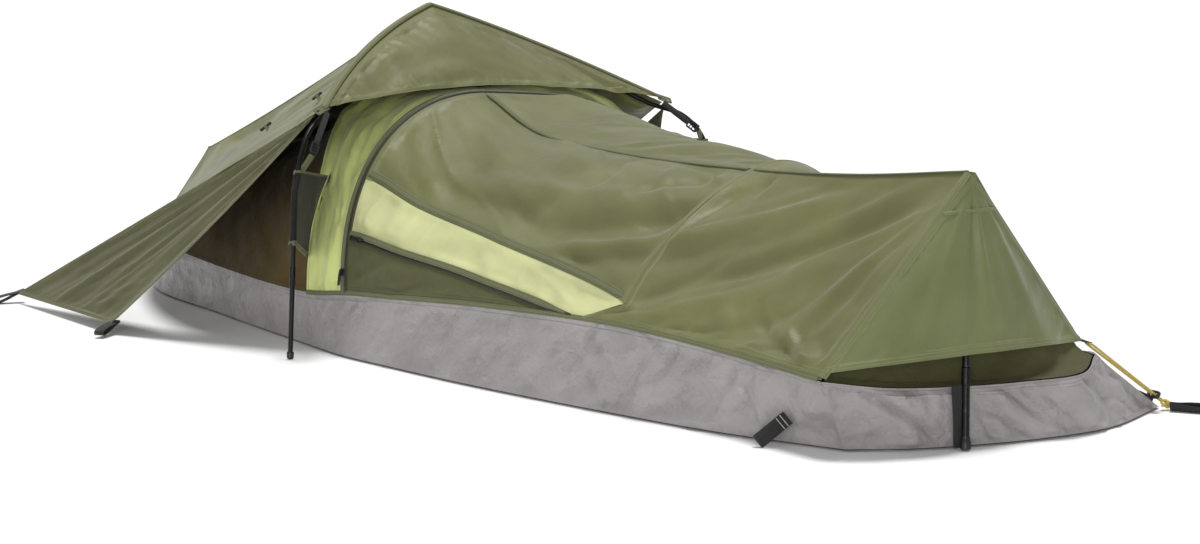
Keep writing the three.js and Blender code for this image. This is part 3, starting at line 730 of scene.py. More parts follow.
def flat_profile(width, thick, edge=0.0006):
    """A flat strap's section with soft edges, centred on zero."""
    w, h, e = width / 2, thick / 2, min(edge, thick * 0.45)
    return two_halves([(-w, e - h), (-w + e, -h), (w - e, -h), (w, e - h)])


def resample(points, count):
    points = np.asarray(points, float)
    length = run(points)
    want = np.linspace(0, length[-1], count)
    return np.stack([np.interp(want, length, points[:, i]) for i in range(points.shape[1])], 1)


def smooth_path(points, step):
    line = rail(points)(np.linspace(0, 1, 400)) if len(points) > 2 else np.asarray(points, float)
    return resample(line, max(int(run(line)[-1] / step), 4) + 1)


def tube(name, points, radius, material, step=0.004, sides=12):
    line = smooth_path(points, step)
    tangent = unit(np.gradient(line, axis=0))
    start = np.array([0, 0, 1.0]) if abs(tangent[0, 2]) < 0.9 else np.array([1.0, 0, 0])
    lateral = [unit(np.cross(tangent[0], start))]
    for t in tangent[1:]:
        lateral.append(unit(lateral[-1] - t * (lateral[-1] @ t)))
    return sweep(name, line, np.array(lateral), circle(radius, sides), material)


def strap(name, points, lateral, width, thick, material, nodes=(), body="shell", step=0.003):
    line = smooth_path(points, step)
    piece = sweep(name, line, lateral, flat_profile(width, thick), material, sharp=STRAP_SHARP)
    return finish_piece(piece, nodes, body)


def same_ends(half, middle=()):
    """A turned part's shape from one end to its middle, and back to the same end."""
    return [*half, *middle, *((1 - share, radius) for share, radius in reversed(half))]


def turned(name, start, end, shape, material):
    """A turned part between two points: shape lists (share along it, radius)."""
    start, end = np.asarray(start, float), np.asarray(end, float)
    shares, radii = np.array(shape, float).T
    line = lerp(start, end, shares[:, None])
    side = np.cross(unit(end - start), [0.31, 0.95, 0.1])
    return sweep(name, line, side, circle(1, TURNED_SIDES), material, radii)


def block(name, outline, depth, origin, x_dir, normal, bevel, holes=(), material="plastic"):
    """A moulded plate with holes and rounded edges; its outline is in (x, y) metres."""
    curve = bpy.data.curves.new(name + "_outline", "CURVE")
    curve.dimensions = "2D"
    curve.fill_mode = "BOTH"
    for ring in (outline, *holes):
        spline = curve.splines.new("POLY")
        spline.points.add(len(ring) - 1)
        for point, (x, y) in zip(spline.points, ring):
            point.co = (x, y, 0, 1)
        spline.use_cyclic_u = True
    curve.extrude = depth / 2 - bevel
    curve.bevel_depth = bevel
    curve.bevel_resolution = 2
    curve.offset = -bevel
    holder = link(name + "_outline", curve)
    bpy.context.view_layer.update()
    mesh = bpy.data.meshes.new_from_object(holder.evaluated_get(bpy.context.evaluated_depsgraph_get()))
    bpy.data.objects.remove(holder)
    bpy.data.curves.remove(curve)
    mesh.name = name
    x = unit(x_dir)
    z = unit(np.asarray(normal) - x * (np.asarray(normal) @ x))
    y = np.cross(z, x)
    mesh.transform(axes_at(x, y, z, origin))
    mesh.polygons.foreach_set("use_smooth", np.ones(len(mesh.polygons), bool))
    mesh.set_sharp_from_angle(angle=math.radians(40))
    mesh.materials.clear()
    mesh.materials.append(MATERIALS[material])
    return link(name, mesh)


def rounded(x0, y0, x1, y1, radius, steps=4):
    """Corners of a rounded rectangle, anticlockwise."""
    out = []
    for cx, cy, a in ((x1 - radius, y1 - radius, 0), (x0 + radius, y1 - radius, 90),
                      (x0 + radius, y0 + radius, 180), (x1 - radius, y0 + radius, 270)):
        for k in range(steps + 1):
            angle = math.radians(a + 90 * k / steps)
            out.append((cx + radius * math.cos(angle), cy + radius * math.sin(angle)))
    return out


# ---------------------------------------------------------------- camera, floor and light
CAMERA_AT = (5.4493, -3.691, 1.099)
CAMERA_RIGHT = (0.5747, 0.8184, 0.0)
CAMERA_UP = (-0.1193, 0.0838, 0.9893)
LENS_MM = 108
WORLD_LIGHT = 0.34
SUNS = (("key", (-0.10, 0.12, 1.0), 2.6, 18), ("front", (0.72, -0.66, 0.16), 1.25, 25),
        ("side", (0.10, -1.0, 0.10), 0.35, 40))


def camera():
    data = bpy.data.cameras.new("camera")
    data.lens, data.sensor_width = LENS_MM, 36
    data.clip_end = 100
    view = link("camera", data)
    right, up = Vector(CAMERA_RIGHT).normalized(), Vector(CAMERA_UP).normalized()
    back = right.cross(up)
    view.matrix_world = axes_at(right, up, back, CAMERA_AT)
    bpy.context.scene.camera = view


def stage_and_light():
    bpy.ops.mesh.primitive_plane_add(size=60, location=(0, 0, -0.0005))
    ground = bpy.context.object
    ground.name = "studio_floor"
    n = Nodes("studio_floor")
    ground.data.materials.append(
        n.surface(Base_Color=(0.92, 0.92, 0.92, 1), Roughness=0.9, Specular_IOR_Level=0.1))
    world = bpy.data.worlds.new("studio")
    world.use_nodes = True
    world.node_tree.nodes["Background"].inputs[0].default_value = (1, 1, 1, 1)
    world.node_tree.nodes["Background"].inputs[1].default_value = WORLD_LIGHT
    bpy.context.scene.world = world
    for name, towards, strength, angle in SUNS:
        lamp = bpy.data.lights.new(name, "SUN")
        lamp.energy, lamp.angle = strength, math.radians(angle)
        link(name, lamp).rotation_euler = Vector(towards).to_track_quat("Z", "Y").to_euler()
    settings = bpy.context.scene.view_settings
    settings.view_transform = "Standard"
    settings.look = "None"


# ---------------------------------------------------------------- guy line at the far foot corner
CORD_D = 0.0040


def guy_line():
    top, end = at(GUY_TOP), at(GUY_END)
    down = unit(end - top)
    across = np.array([1.0, 0, 0])

    def strand(share, sign):
        return lerp(end, top, share) + across * sign * lerp(GUY_SPREAD_END, GUY_SPREAD_TOP, share) / 1000

    turn = [
        top + across * GUY_SPREAD_TOP / 1000 * math.sin(a) - down * GUY_SPREAD_TOP / 1000 * math.cos(a)
        for a in (math.radians(x) for x in (-60, 0, 60))
    ]
    keys = [strand(s, -1) for s in (0, 0.35, 0.7, 1)] + turn + [strand(s, 1) for s in (1, 0.7, 0.35, 0)]
    path = resample(rail(keys)(np.linspace(0, 1, 400)), 90)
    curve = bpy.data.curves.new("guy_cord", "CURVE")
    curve.dimensions = "3D"
    curve.bevel_depth = CORD_D / 2
    curve.bevel_resolution = 4
    curve.use_fill_caps = True
    spline = curve.splines.new("POLY")
    spline.points.add(len(path) - 1)
    spline.points.foreach_set("co", np.hstack([path, np.ones((len(path), 1))]).ravel())
    curve.materials.append(MATERIALS["line"])
    cord = finish_piece(link("guy_cord", curve), ["guy_line"])

    knot_at = end + down * 0.0092
    angle = np.linspace(0, 2 * math.pi, 90)
    ring = 0.0060 * (1 + 0.28 * np.cos(3 * angle))
    side = np.cross(down, across)
    knot_path = (
        knot_at + across * (ring * np.cos(2 * angle))[:, None]
        + side * (ring * 0.8 * np.sin(2 * angle))[:, None] + down * (0.0052 * np.sin(3 * angle))[:, None]
    )
    knot = tube("guy_knot_turns", knot_path, 0.0020, "line", step=0.0012, sides=8)
    finish_piece(knot, ["guy_knot"])
    for k, (sideways, reach) in enumerate(((0.012, 0.030), (-0.004, 0.026))):
        tail_path = [
            knot_at + down * 0.004,
            knot_at + down * 0.010 + across * sideways * 0.6 + offset((0, 3, -1)),
            knot_at + down * 0.012 + across * (sideways + reach * 0.5) + offset((0, 6, 1)),
            knot_at + down * 0.012 + across * (sideways + reach) + offset((0, 10, -1)),
        ]
        tail = tube(f"guy_tail_{k}", tail_path, 0.0018, "line", step=0.002, sides=8)
        finish_piece(tail)
    runner = block(
        "guy_line_runner", rounded(-0.013, -0.0065, 0.013, 0.0065, 0.004), 0.006, lerp(end, top, 0.12),
        across, -down, 0.0008, [rounded(x, -0.0032, x + 0.0082, 0.0032, 0.0015) for x in (-0.0092, 0.0010)],
    )
    finish_piece(runner, ["guy_runner"], "guy_runner")


# ---------------------------------------------------------------- floor and skirt
SKIRT_FOOT = 0.0035


def floor_surface(u, v):
    near, far = floor_line[NEAR](u), floor_line[FAR](u)
    point = lerp(near, far, v[..., None])
    point[..., 0] -= HEAD_BULGE / 1000 * bow(v) * (1 - u) ** 8
    foot = foot_floor_line(v) - lerp(floor_line[NEAR](1.0), floor_line[FAR](1.0), v[..., None])
    point += foot * (u**10)[..., None]
    point[..., 2] += 0.0015
    return point


def skirt_surface(side):
    corner = at(FOOT_TOP[-1]) if side == FAR else at(FOOT_TOP[0])

    def surface(u, v):
        keys = len(EAVE) - 1
        top = on_side(eave_line(u), side)
        pull = np.maximum(0, u * keys - (keys - 1)) ** 2
        top = lerp(top, corner, pull[..., None])
        foot = floor_line[side](u) + [0, 0, SKIRT_FOOT]
        return lerp(foot, top, v[..., None])

    return surface


def skirt_wrinkle(seed, low=0.45, high=1.3):
    """Crumpled coated cloth: flat facets between sharp creases, growing towards the foot."""
    def wrinkle(f):
        s, t, x = f["s"], f["t"], f["p"][..., 0]
        grow = lerp(low, high, smooth(x, 0.0, 1.05))
        lean = s + 0.25 * t * noise(s / 0.21, t / 0.5, seed + 9)
        upright = 0.0120 * (0.35 - np.abs(noise(lean / 0.085, t / 0.22, seed)))
        slanted = 0.0095 * (np.abs(noise((s + 0.8 * t) / 0.06, (t - 0.6 * s) / 0.15, seed + 1)) - 0.3)
        other = 0.0080 * (0.3 - np.abs(noise((s - 0.7 * t) / 0.05, (t + 0.5 * s) / 0.11, seed + 2)))
        small = 0.0020 * noise(s / 0.022, t / 0.05, seed + 3)
        facets = 0.0016 * (0.3 - np.abs(noise(s / 0.03, t / 0.03, seed + 4)))
        return (upright + slanted + other + (small + facets)) * grow

    return wrinkle


def floor_and_skirt():
    def floor_wrinkle(f):
        return 0.0006 * noise(f["s"] / 0.09, f["t"] / 0.07, 3)

    panel("groundsheet", floor_surface, 0.02, "grey", ["floor_sheet"], (0, 0, 1), floor_wrinkle,
          held="laid")
    for side, name in SIDE_NAME.items():
        panel(f"skirt_{name}_cloth", skirt_surface(side), 0.0065, "grey", [f"skirt_{name}"],
              (0, side, 0.1), skirt_wrinkle(20 + side), {"V": 0.012}, pin_width=0.016, pucker=0.0016)
    panel("skirt_foot_cloth",
          lambda u, v: lerp(foot_floor_line(u) + [0, 0, SKIRT_FOOT], foot_top_line(u), v[..., None]),
          0.005, "grey", ["skirt_foot"], (1, 0, 0.1), skirt_wrinkle(31), {"V": 0.012},
          pin_width=0.014, pucker=0.0016)
    low, high = (*FLOOR_FAR[0][:2], 1000 * SKIRT_FOOT), EAVE[0]
    panel("skirt_head_cloth", lambda u, v: lerp(head_edge(low, u), head_edge(high, u), v[..., None]),
          0.0085, "grey", ["skirt_head"], (-1, 0, 0.1), skirt_wrinkle(41), {"V": 0.012},
          pin_width=0.018)


# ---------------------------------------------------------------- the inner walls at the head and foot
def inner_head_top(share):
    point = head_edge(HEAD_TOP, share)
    point[..., 2] += HEAD_TOP_CROWN / 1000 * bow(share)
    return point


def soft_folds(seed, size=1.0, angle=0.5):
    def wrinkle(f):
        long, short = (0.005, angle, 0.3, 0.06, seed), (0.0025, -0.4, 0.15, 0.03, seed + 1)
        return size * waves(f["s"], f["t"], long, short)

    return wrinkle


def inner_walls():
    for side, name in SIDE_NAME.items():
        def head_wall(u, v):
            bottom = on_side(eave_line(u * FIRST_COVER_KEY / (len(EAVE) - 1)), side)
            top = lerp(at(on_side(HEAD_TOP, side)), cover(0, MESH_START, side), u[..., None])
            straight = lerp(cover(0, 0, side), cover(0, MESH_START, side), v[..., None])
            rounding = (cover(0, v * MESH_START, side) - straight) * (u * u)[..., None]
            return lerp(bottom, top, v[..., None]) + rounding

        panel(f"head_wall_{name}_cloth", head_wall, 0.010, "inner", [f"head_wall_{name}"],
              (0, side, 0.1), soft_folds(50 + side, 1.0, 1.2), {"v": 0.010, "V": 0.010})

    def mesh_roof(u, v):
        return lerp(inner_head_top(v), over_ridge(0, lerp(-1, 1, v) * (1 - MESH_START)), u[..., None])

    panel("mesh_roof_cloth", mesh_roof, 0.014, "mesh", ["mesh_roof"], (0, 0, 1), soft_folds(55),
          {"v": 0.008, "V": 0.008})
    foot = (*EAVE[0][:2], EAVE[0][2] + 1)
    panel("head_end_wall_cloth", lambda u, v: lerp(head_edge(foot, u), inner_head_top(u), v[..., None]),
          0.013, "inner", ["head_end_wall"], (-1, 0, 0.1), soft_folds(57, 0.5), {"v": 0.008})

    def foot_wall(u, v):
        low = foot_top_line(lerp(0.012, 0.985, u)) + offset((-4, 0, 0))
        high = at((1222, 0, 372)) + np.stack([0 * u, lerp(-0.026, 0.026, u), 0 * u], -1)
        knee_x = np.minimum(low[..., 0], (1235 - MID_LENGTH) / 1000) - 0.022
        knee = np.stack([knee_x, low[..., 1] * 0.85, low[..., 2] + 0.014], -1)
        t = v[..., None]
        return low * (1 - t) ** 2 + knee * 2 * t * (1 - t) + high * t**2

    panel("foot_inner_cloth", foot_wall, 0.008, "foot_inner", ["foot_inner_wall"], (1, 0, 0.1),
          soft_folds(59, 1.0, 1.3), {"v": 0.010})


# ---------------------------------------------------------------- the cover
FOLD_HEIGHT = 1.7
# Folds of the near side, in side view (x, z) in metres: line, width, height.
NEAR_FOLDS = (
    (((0.00, 0.330), (0.09, 0.306), (0.20, 0.298), (0.30, 0.296), (0.36, 0.312)), 0.016, -0.0075),
    (((0.06, 0.338), (0.20, 0.326), (0.34, 0.318), (0.50, 0.326), (0.62, 0.360)), 0.017, 0.0060),
    (((0.22, 0.292), (0.33, 0.280), (0.42, 0.279), (0.53, 0.294), (0.62, 0.316), (0.70, 0.352)),
     0.019, -0.0085),
    (((0.40, 0.332), (0.36, 0.356), (0.31, 0.374)), 0.009, -0.0035),
    (((0.47, 0.330), (0.53, 0.350), (0.60, 0.372)), 0.013, -0.0050),
    (((0.40, 0.238), (0.48, 0.236), (0.58, 0.248), (0.70, 0.266), (0.78, 0.300)), 0.015, -0.0060),
    (((0.38, 0.256), (0.50, 0.256), (0.62, 0.274), (0.72, 0.300)), 0.013, 0.0050),
    (((0.61, 0.176), (0.69, 0.198), (0.75, 0.236), (0.80, 0.280)), 0.011, -0.0045),
    (((0.54, 0.300), (0.62, 0.322), (0.70, 0.362), (0.74, 0.380)), 0.017, -0.0080),
    (((0.62, 0.240), (0.72, 0.304), (0.84, 0.343), (0.97, 0.378)), 0.018, 0.0065),
    (((0.74, 0.205), (0.85, 0.266), (0.96, 0.317), (1.07, 0.362), (1.17, 0.405)), 0.018, -0.0075),
    (((0.90, 0.240), (0.98, 0.296), (1.06, 0.335), (1.15, 0.378)), 0.014, 0.0050),
    (((0.70, 0.170), (0.82, 0.205), (0.95, 0.262)), 0.014, 0.0040),
    (((0.93, 0.196), (0.99, 0.166), (1.06, 0.144), (1.12, 0.128)), 0.010, -0.0045),
    (((1.00, 0.190), (1.06, 0.160), (1.13, 0.136)), 0.008, 0.0040),
    (((0.05, 0.372), (0.16, 0.352), (0.26, 0.346), (0.36, 0.350)), 0.016, -0.0030),
)


def placed_folds(p):
    """The near side's listed folds at the points of a panel."""
    x, z = p[..., 0], p[..., 2]
    total = np.zeros(x.shape)
    for keys, width, height in NEAR_FOLDS:
        total += fold_line(x, z, keys, width, height * FOLD_HEIGHT)
    return np.where(p[..., 1] < 0, total, 0)


# The arch band's front edge: rise, from 0 at the eave to 1 at the ridge, and the station there.
BAND_FRONT = (
    (0, 0.0), (0.126, -0.03), (0.226, -0.08), (0.382, -0.35), (0.508, -0.68), (0.62, -0.98), (1, -0.95),
)
BAND_LIFT_NEAR, BAND_LIFT_FAR = 0.004, 0.044
BAND_SWELL = (0, 0.016, 0.012)


def before_arch(station, girth):
    """The cover carried on ahead of its first station, straight along its own slope."""
    first, later = over_ridge(0, girth), over_ridge(0.4, girth)
    ahead = np.minimum(station, 0)[..., None]
    return over_ridge(np.maximum(station, 0), girth) + (later - first) / 0.4 * ahead


def arch_band(u, v):
    """The lime band. Its far stretch stands up and swells out, so that it shows under the visor."""
    girth = lerp(-1, 1, v)
    off_ridge = np.abs(girth)
    rises, starts = zip(*BAND_FRONT)
    front = np.interp(1 - off_ridge, rises, starts)
    point = before_arch(lerp(front, ZIP_STATION - TAPE_STATIONS, u), girth)
    lift = np.where(girth > 0, BAND_LIFT_FAR * smooth(u, 0.1, 0.6), BAND_LIFT_NEAR) * (1 - u)
    point[..., 2] += lift * smooth(1 - off_ridge, 0.15, 0.45) * smooth(off_ridge, 0, 0.15)
    far_middle = smooth(girth, 0.15, 0.5) * smooth(1 - girth, 0.06, 0.4)
    swell = far_middle * smooth(1 - u, 0, 0.3) * smooth(u, 0.3, 0.8)
    return point + swell[..., None] * BAND_SWELL


def cover_pieces():
    def door_wrinkle(f):
        middle = f["t"] - 0.5 * f["t"][:, -1:]
        g, s = np.abs(middle), f["s"]

        def half(seed):
            lines = crease((s * 0.9 + g * 0.43) / 0.34, (g * 0.9 - s * 0.43) / 0.075, seed + 3, 2.2)
            return waves(s, g, (0.0075, 0.30, 0.42, 0.085, seed), (0.0046, 0.50, 0.26, 0.048, seed + 1),
                         (0.0018, 0.20, 0.16, 0.024, seed + 2)) + 0.0042 * lines

        return (np.where(middle < 0, half(60), half(100)) + placed_folds(f["p"])) * smooth(g, 0.004, 0.03)

    def band_wrinkle(f):
        s, t = f["s"], f["t"]
        long = waves(t, s, (0.0048, 0.12, 0.16, 0.022, 70), (0.0026, -0.25, 0.09, 0.012, 71))
        return long + 0.0030 * (0.3 - np.abs(noise(t / 0.05, s / 0.02, 73)))

    def wedge_wrinkle(f):
        s, t = f["s"], f["t"]
        flat = 0.0060 * (0.3 - np.abs(noise((s + t) / 0.09, (t - s) / 0.07, 72)))
        return flat + waves(s, t, (0.0055, 0.10, 0.30, 0.045, 72), (0.0030, 1.1, 0.10, 0.03, 73))

    def wall_wrinkle(f):
        return waves(f["s"], f["t"], (0.0080, 1.2, 0.20, 0.06, 76), (0.0045, 0.3, 0.12, 0.025, 77))

    panel("arch_band_cloth", arch_band, 0.0062, "lime_band", ["arch_band"], (0, 0, 1),
          band_wrinkle, {"u": 0.008, "U": 0.008}, pin_width=0.02)
    panel("arch_zip_tape",
          lambda u, v: over_ridge(lerp(ZIP_STATION - TAPE_STATIONS, ZIP_STATION, u), lerp(-1, 1, v)),
          0.0045, "tape", ["arch_zip"], (0, 0, 1), proud=0.0004)

    def door(u, v):
        station = lerp(ZIP_STATION, SEAM_STATION, u)
        return over_ridge(station, lerp(-1, 1, v) * (1 - wedge_rise(station)))

    panel("door_cloth", door, 0.0062, "olive", ["door_panel"], (0, 0, 1), door_wrinkle,
          {"u": 0.012, "U": 0.010}, "door", pin_width=0.030)
    for side, name in SIDE_NAME.items():
        def wedge(u, v):
            low = lerp(ZIP_STATION, WEDGE_END_STATION, u)
            high = lerp(ZIP_STATION, SEAM_STATION, u)
            return cover(lerp(low, high, v), lerp(zip_rise(low), wedge_rise(high), v), side)

        def lower_zip(u, v):
            station = lerp(ZIP_STATION, WEDGE_END_STATION - 0.05, u)
            return cover(station, lerp(tape_foot(station), zip_rise(station), v), side)

        def lower_wall(u, v):
            station = lerp(ZIP_STATION, WEDGE_END_STATION - 0.32, u)
            return cover(station, lerp(0 * u, tape_foot(station), v), side)

        def foot_roof(u, v):
            start = lerp(WEDGE_END_STATION, SEAM_STATION, np.minimum(v / (WEDGE_TIP * 0.9), 1))
            return cover(lerp(start, FOOT_STATION, u), v, side)

        def roof_wrinkle(f):
            s, t = f["s"], f["t"]
            d = f["p"] - at(FOOT_APEX)
            r = np.linalg.norm(d, axis=-1)
            angle = np.arctan2(-d[..., 2], -d[..., 0])
            rays = 0.0065 * noise(angle * 9, r / 0.35, 80 + side)
            rays *= smooth(r, 0.05, 0.3) * (1 - smooth(r, 0.5, 0.75))
            soft = waves(s, t, (0.0060, 0.35, 0.34, 0.075, 81 + side), (0.0024, 0.5, 0.15, 0.024, 84))
            low = 0.0060 * folds(s, t, -0.8, 0.10, 0.026, 82 + side) * smooth(t, 0.14, 0.02)
            hollow = -0.010 * np.sin(np.pi * f["v"]) * np.sin(np.pi * f["u"])
            return rays + soft + low + hollow + placed_folds(f["p"])

        out = (0, side, 0.6)
        panel(f"door_wedge_{name}_cloth", wedge, 0.0055, "lime", [f"door_wedge_{name}"], out,
              wedge_wrinkle, body="door", pin_width=0.020)
        panel(f"lower_zip_{name}_tape", lower_zip, 0.005, "tape", [f"lower_zip_{name}"], out)
        panel(f"lower_wall_{name}_cloth", lower_wall, 0.0065, "dark", [f"lower_wall_{name}"],
              out, wall_wrinkle, {"v": 0.014}, pin_width=0.025)
        panel(f"foot_roof_{name}_cloth", foot_roof, 0.0062, "olive", [f"foot_roof_{name}"],
              out, roof_wrinkle, {"u": 0.010, "v": 0.018}, pin_width=0.030)


# ---------------------------------------------------------------- hood, fly, foot flap and awnings
def hood_pieces():
    def visor(u, v):
        across = lerp(-1, 1, v)
        belly = (np.sin(np.pi * u) * (1 - across**2))[..., None] * offset((6, 0, 6))
        return lerp(both_sides(crown, across), both_sides(hood_hem, across), u[..., None]) + belly

    def visor_wrinkle(f):
        s, t = f["s"], f["t"]
        soft = waves(s, t, (0.0058, 0.9, 0.20, 0.07, 90), (0.0036, 1.25, 0.14, 0.04, 91))
        puckers = 0.0030 * noise(t / 0.024, s / 0.10, 92)
        beside_seam = smooth(s, 0.024, 0.034) * (1 - smooth(s, 0.05, 0.11))
        return soft * smooth(s, 0.026, 0.05) + puckers * beside_seam

    panel("hood_visor_cloth", visor, 0.0055, "olive", ["hood_visor"], (1, 0, 0.5), visor_wrinkle,
          {"u": 0.028, "U": 0.010}, pinned="uvV", pin_width=0.020, pucker=0.0016)

    for side, name in SIDE_NAME.items():
        def fly_wrinkle(f):
            s, t = f["s"], f["t"]
            soft = waves(s, t, (0.0080, -0.12, 0.5, 0.085, 95 + side), (0.0036, 0.1, 0.22, 0.04, 96 + side))
            puckers = 0.0030 * noise(t / 0.028, s / 0.10, 97 + side) * (1 - smooth(s, 0.03, 0.12))
            return soft + puckers - FLY_SETTLE

        panel(f"fly_{name}_cloth", lambda u, v: fly_side(u, v, side), 0.0075, "olive", [f"fly_{name}"],
              (0, side, 0.8), fly_wrinkle, {"u": 0.026, "v": 0.012}, pin_width=0.035, pucker=0.0014)

        def awning(u, v):
            fold = at((FLY_HEM[0][0], FLY_HEM[0][1] * side, HOOD_CORNER[side][2] - AWNING_DROP[side]))
            foot, head = at(on_side(PEG_FOOT, side)), at(on_side(PEG_HEAD, side))
            downhill = unit(foot - (fold + head) / 2) * 0.005
            hem = lerp(head + downhill * 0.7, foot, u[..., None])
            point = lerp(hem, fold + downhill, v[..., None])
            point[..., 2] -= 0.009 * bow(v) * u
            return point

        def awning_wrinkle(f):
            s, t = f["s"], f["t"]
            long = 0.0070 * noise(f["u"] * 6.5, t / 0.5, 100 + side)
            short = 0.0026 * noise(f["u"] * 17, t / 0.25, 101 + side)
            hem = 0.0018 * folds(s, t, 0.8, 0.12, 0.04, 102 + side) * smooth(f["v"], 0.4, 0.1)
            return long + short + hem - AWNING_SETTLE

        panel(f"awning_{name}_cloth", awning, 0.0068, "shaded_fly", [f"awning_{name}"], (0, side, 0.6),
              awning_wrinkle, {"u": 0.010, "U": 0.012, "v": 0.012}, f"awning_{name}", pin_width=0.04)
    tip = (FLY_TIP[0] - 2, FLY_TIP[1] - 1, FLY_TIP[2] - 1)
    low = (FLY_HEM[-1][0] - 2, FLY_HEM[-1][1] - 1, FLY_HEM[-1][2])
    panel("fly_head_end_cloth", lambda u, v: lerp(head_edge(low, u), head_edge(tip, u), v[..., None]), 0.0075,
          "shaded_fly", ["fly_head_end"], (-1, 0, 0.3),
          lambda f: 0.003 * folds(f["s"], f["t"], 0.9, 0.2, 0.05, 105), {"v": 0.012, "u": 0.008, "U": 0.008})
    panel("foot_flap_cloth", foot_flap, 0.0058, "olive_foot", ["foot_fly"], (1, 0, 0.5),
          flap_wrinkle, {"u": 0.014, "U": 0.014, "v": 0.014}, pinned="uUV", pin_width=0.040)


# The foot flap's rays: each one's place along the hem, width and height.
FLAP_RAYS = ((0.30, 0.05, 0.004), (0.52, 0.06, -0.007), (0.58, 0.035, 0.006), (0.80, 0.05, 0.005))


def foot_flap(u, v):
    corner = {side: at(on_side(FOOT_EAVE, side)) for side in (NEAR, FAR)}
    hem = lerp(corner[NEAR], corner[FAR], u[..., None]) + offset(FOOT_HEM_BULGE) * bow(u)[..., None]
    return lerp(hem, at(FOOT_APEX), v[..., None] * 0.985) + offset((FOOT_FLY_STANDOFF, 0, 0))


def flap_wrinkle(f):
    """Folds that fan out from the apex over the pole."""
    s, t, u, v = f["s"], f["t"], f["u"], f["v"]
    rays = 0.0046 * noise(u * 8, t / 0.4, 110) * smooth(v, 1.0, 0.7)
    fan = sum(height * np.exp(-(((u - middle) / width) ** 2)) for middle, width, height in FLAP_RAYS)
    return rays + fan * smooth(v, 0.97, 0.7) + 0.0018 * folds(s, t, 1.2, 0.15, 0.04, 112)


# ---------------------------------------------------------------- seams over the joins between panels
def seam(name, points, normals, width, material, on, height=0.0014, lift=0.0006, fade=0.0):
    """A felled seam: a low strip over the join, its section a soft dome, with two rows of stitches.

    fade is the share of its length over which its far end narrows."""
    w, h = width / 2, height
    profile = [
        (-w, -0.0008), (w, -0.0008), (w, 0.2 * h), (w * 0.8, h), (0, 1.15 * h), (-w * 0.8, h), (-w, 0.2 * h),
    ]
    points = np.asarray(points) + np.asarray(normals) * lift
    lateral = np.cross(unit(np.gradient(points, axis=0)), normals)
    scale = 0.25 + 0.75 * smooth(np.linspace(1, 0, len(points)), 0, fade) if fade else 1.0
    from_stitches = np.tile([0.0015, 0.0015, 0.0015, 0.0040, 0.010, 0.0040, 0.0015], len(points))
    piece = sweep(name, points, -lateral, profile, material, scale, STRAP_SHARP, from_stitches,
                  np.repeat(run(points), len(profile)))
    return finish_piece(piece, on=on)


def line_on(surface, u, v, out):
    """Points along a line of a surface, and the surface's normals there."""
    h = 1e-3
    points = surface(u, v)
    du = surface(np.clip(u + h, 0, 1), v) - surface(np.clip(u - h, 0, 1), v)
    dv = surface(u, np.clip(v + h, 0, 1)) - surface(u, np.clip(v - h, 0, 1))
    normal = unit(np.cross(du, dv))
    flip = np.sign((normal * np.asarray(out, float)).sum(-1, keepdims=True))
    return points, normal * np.where(flip == 0, 1, flip)


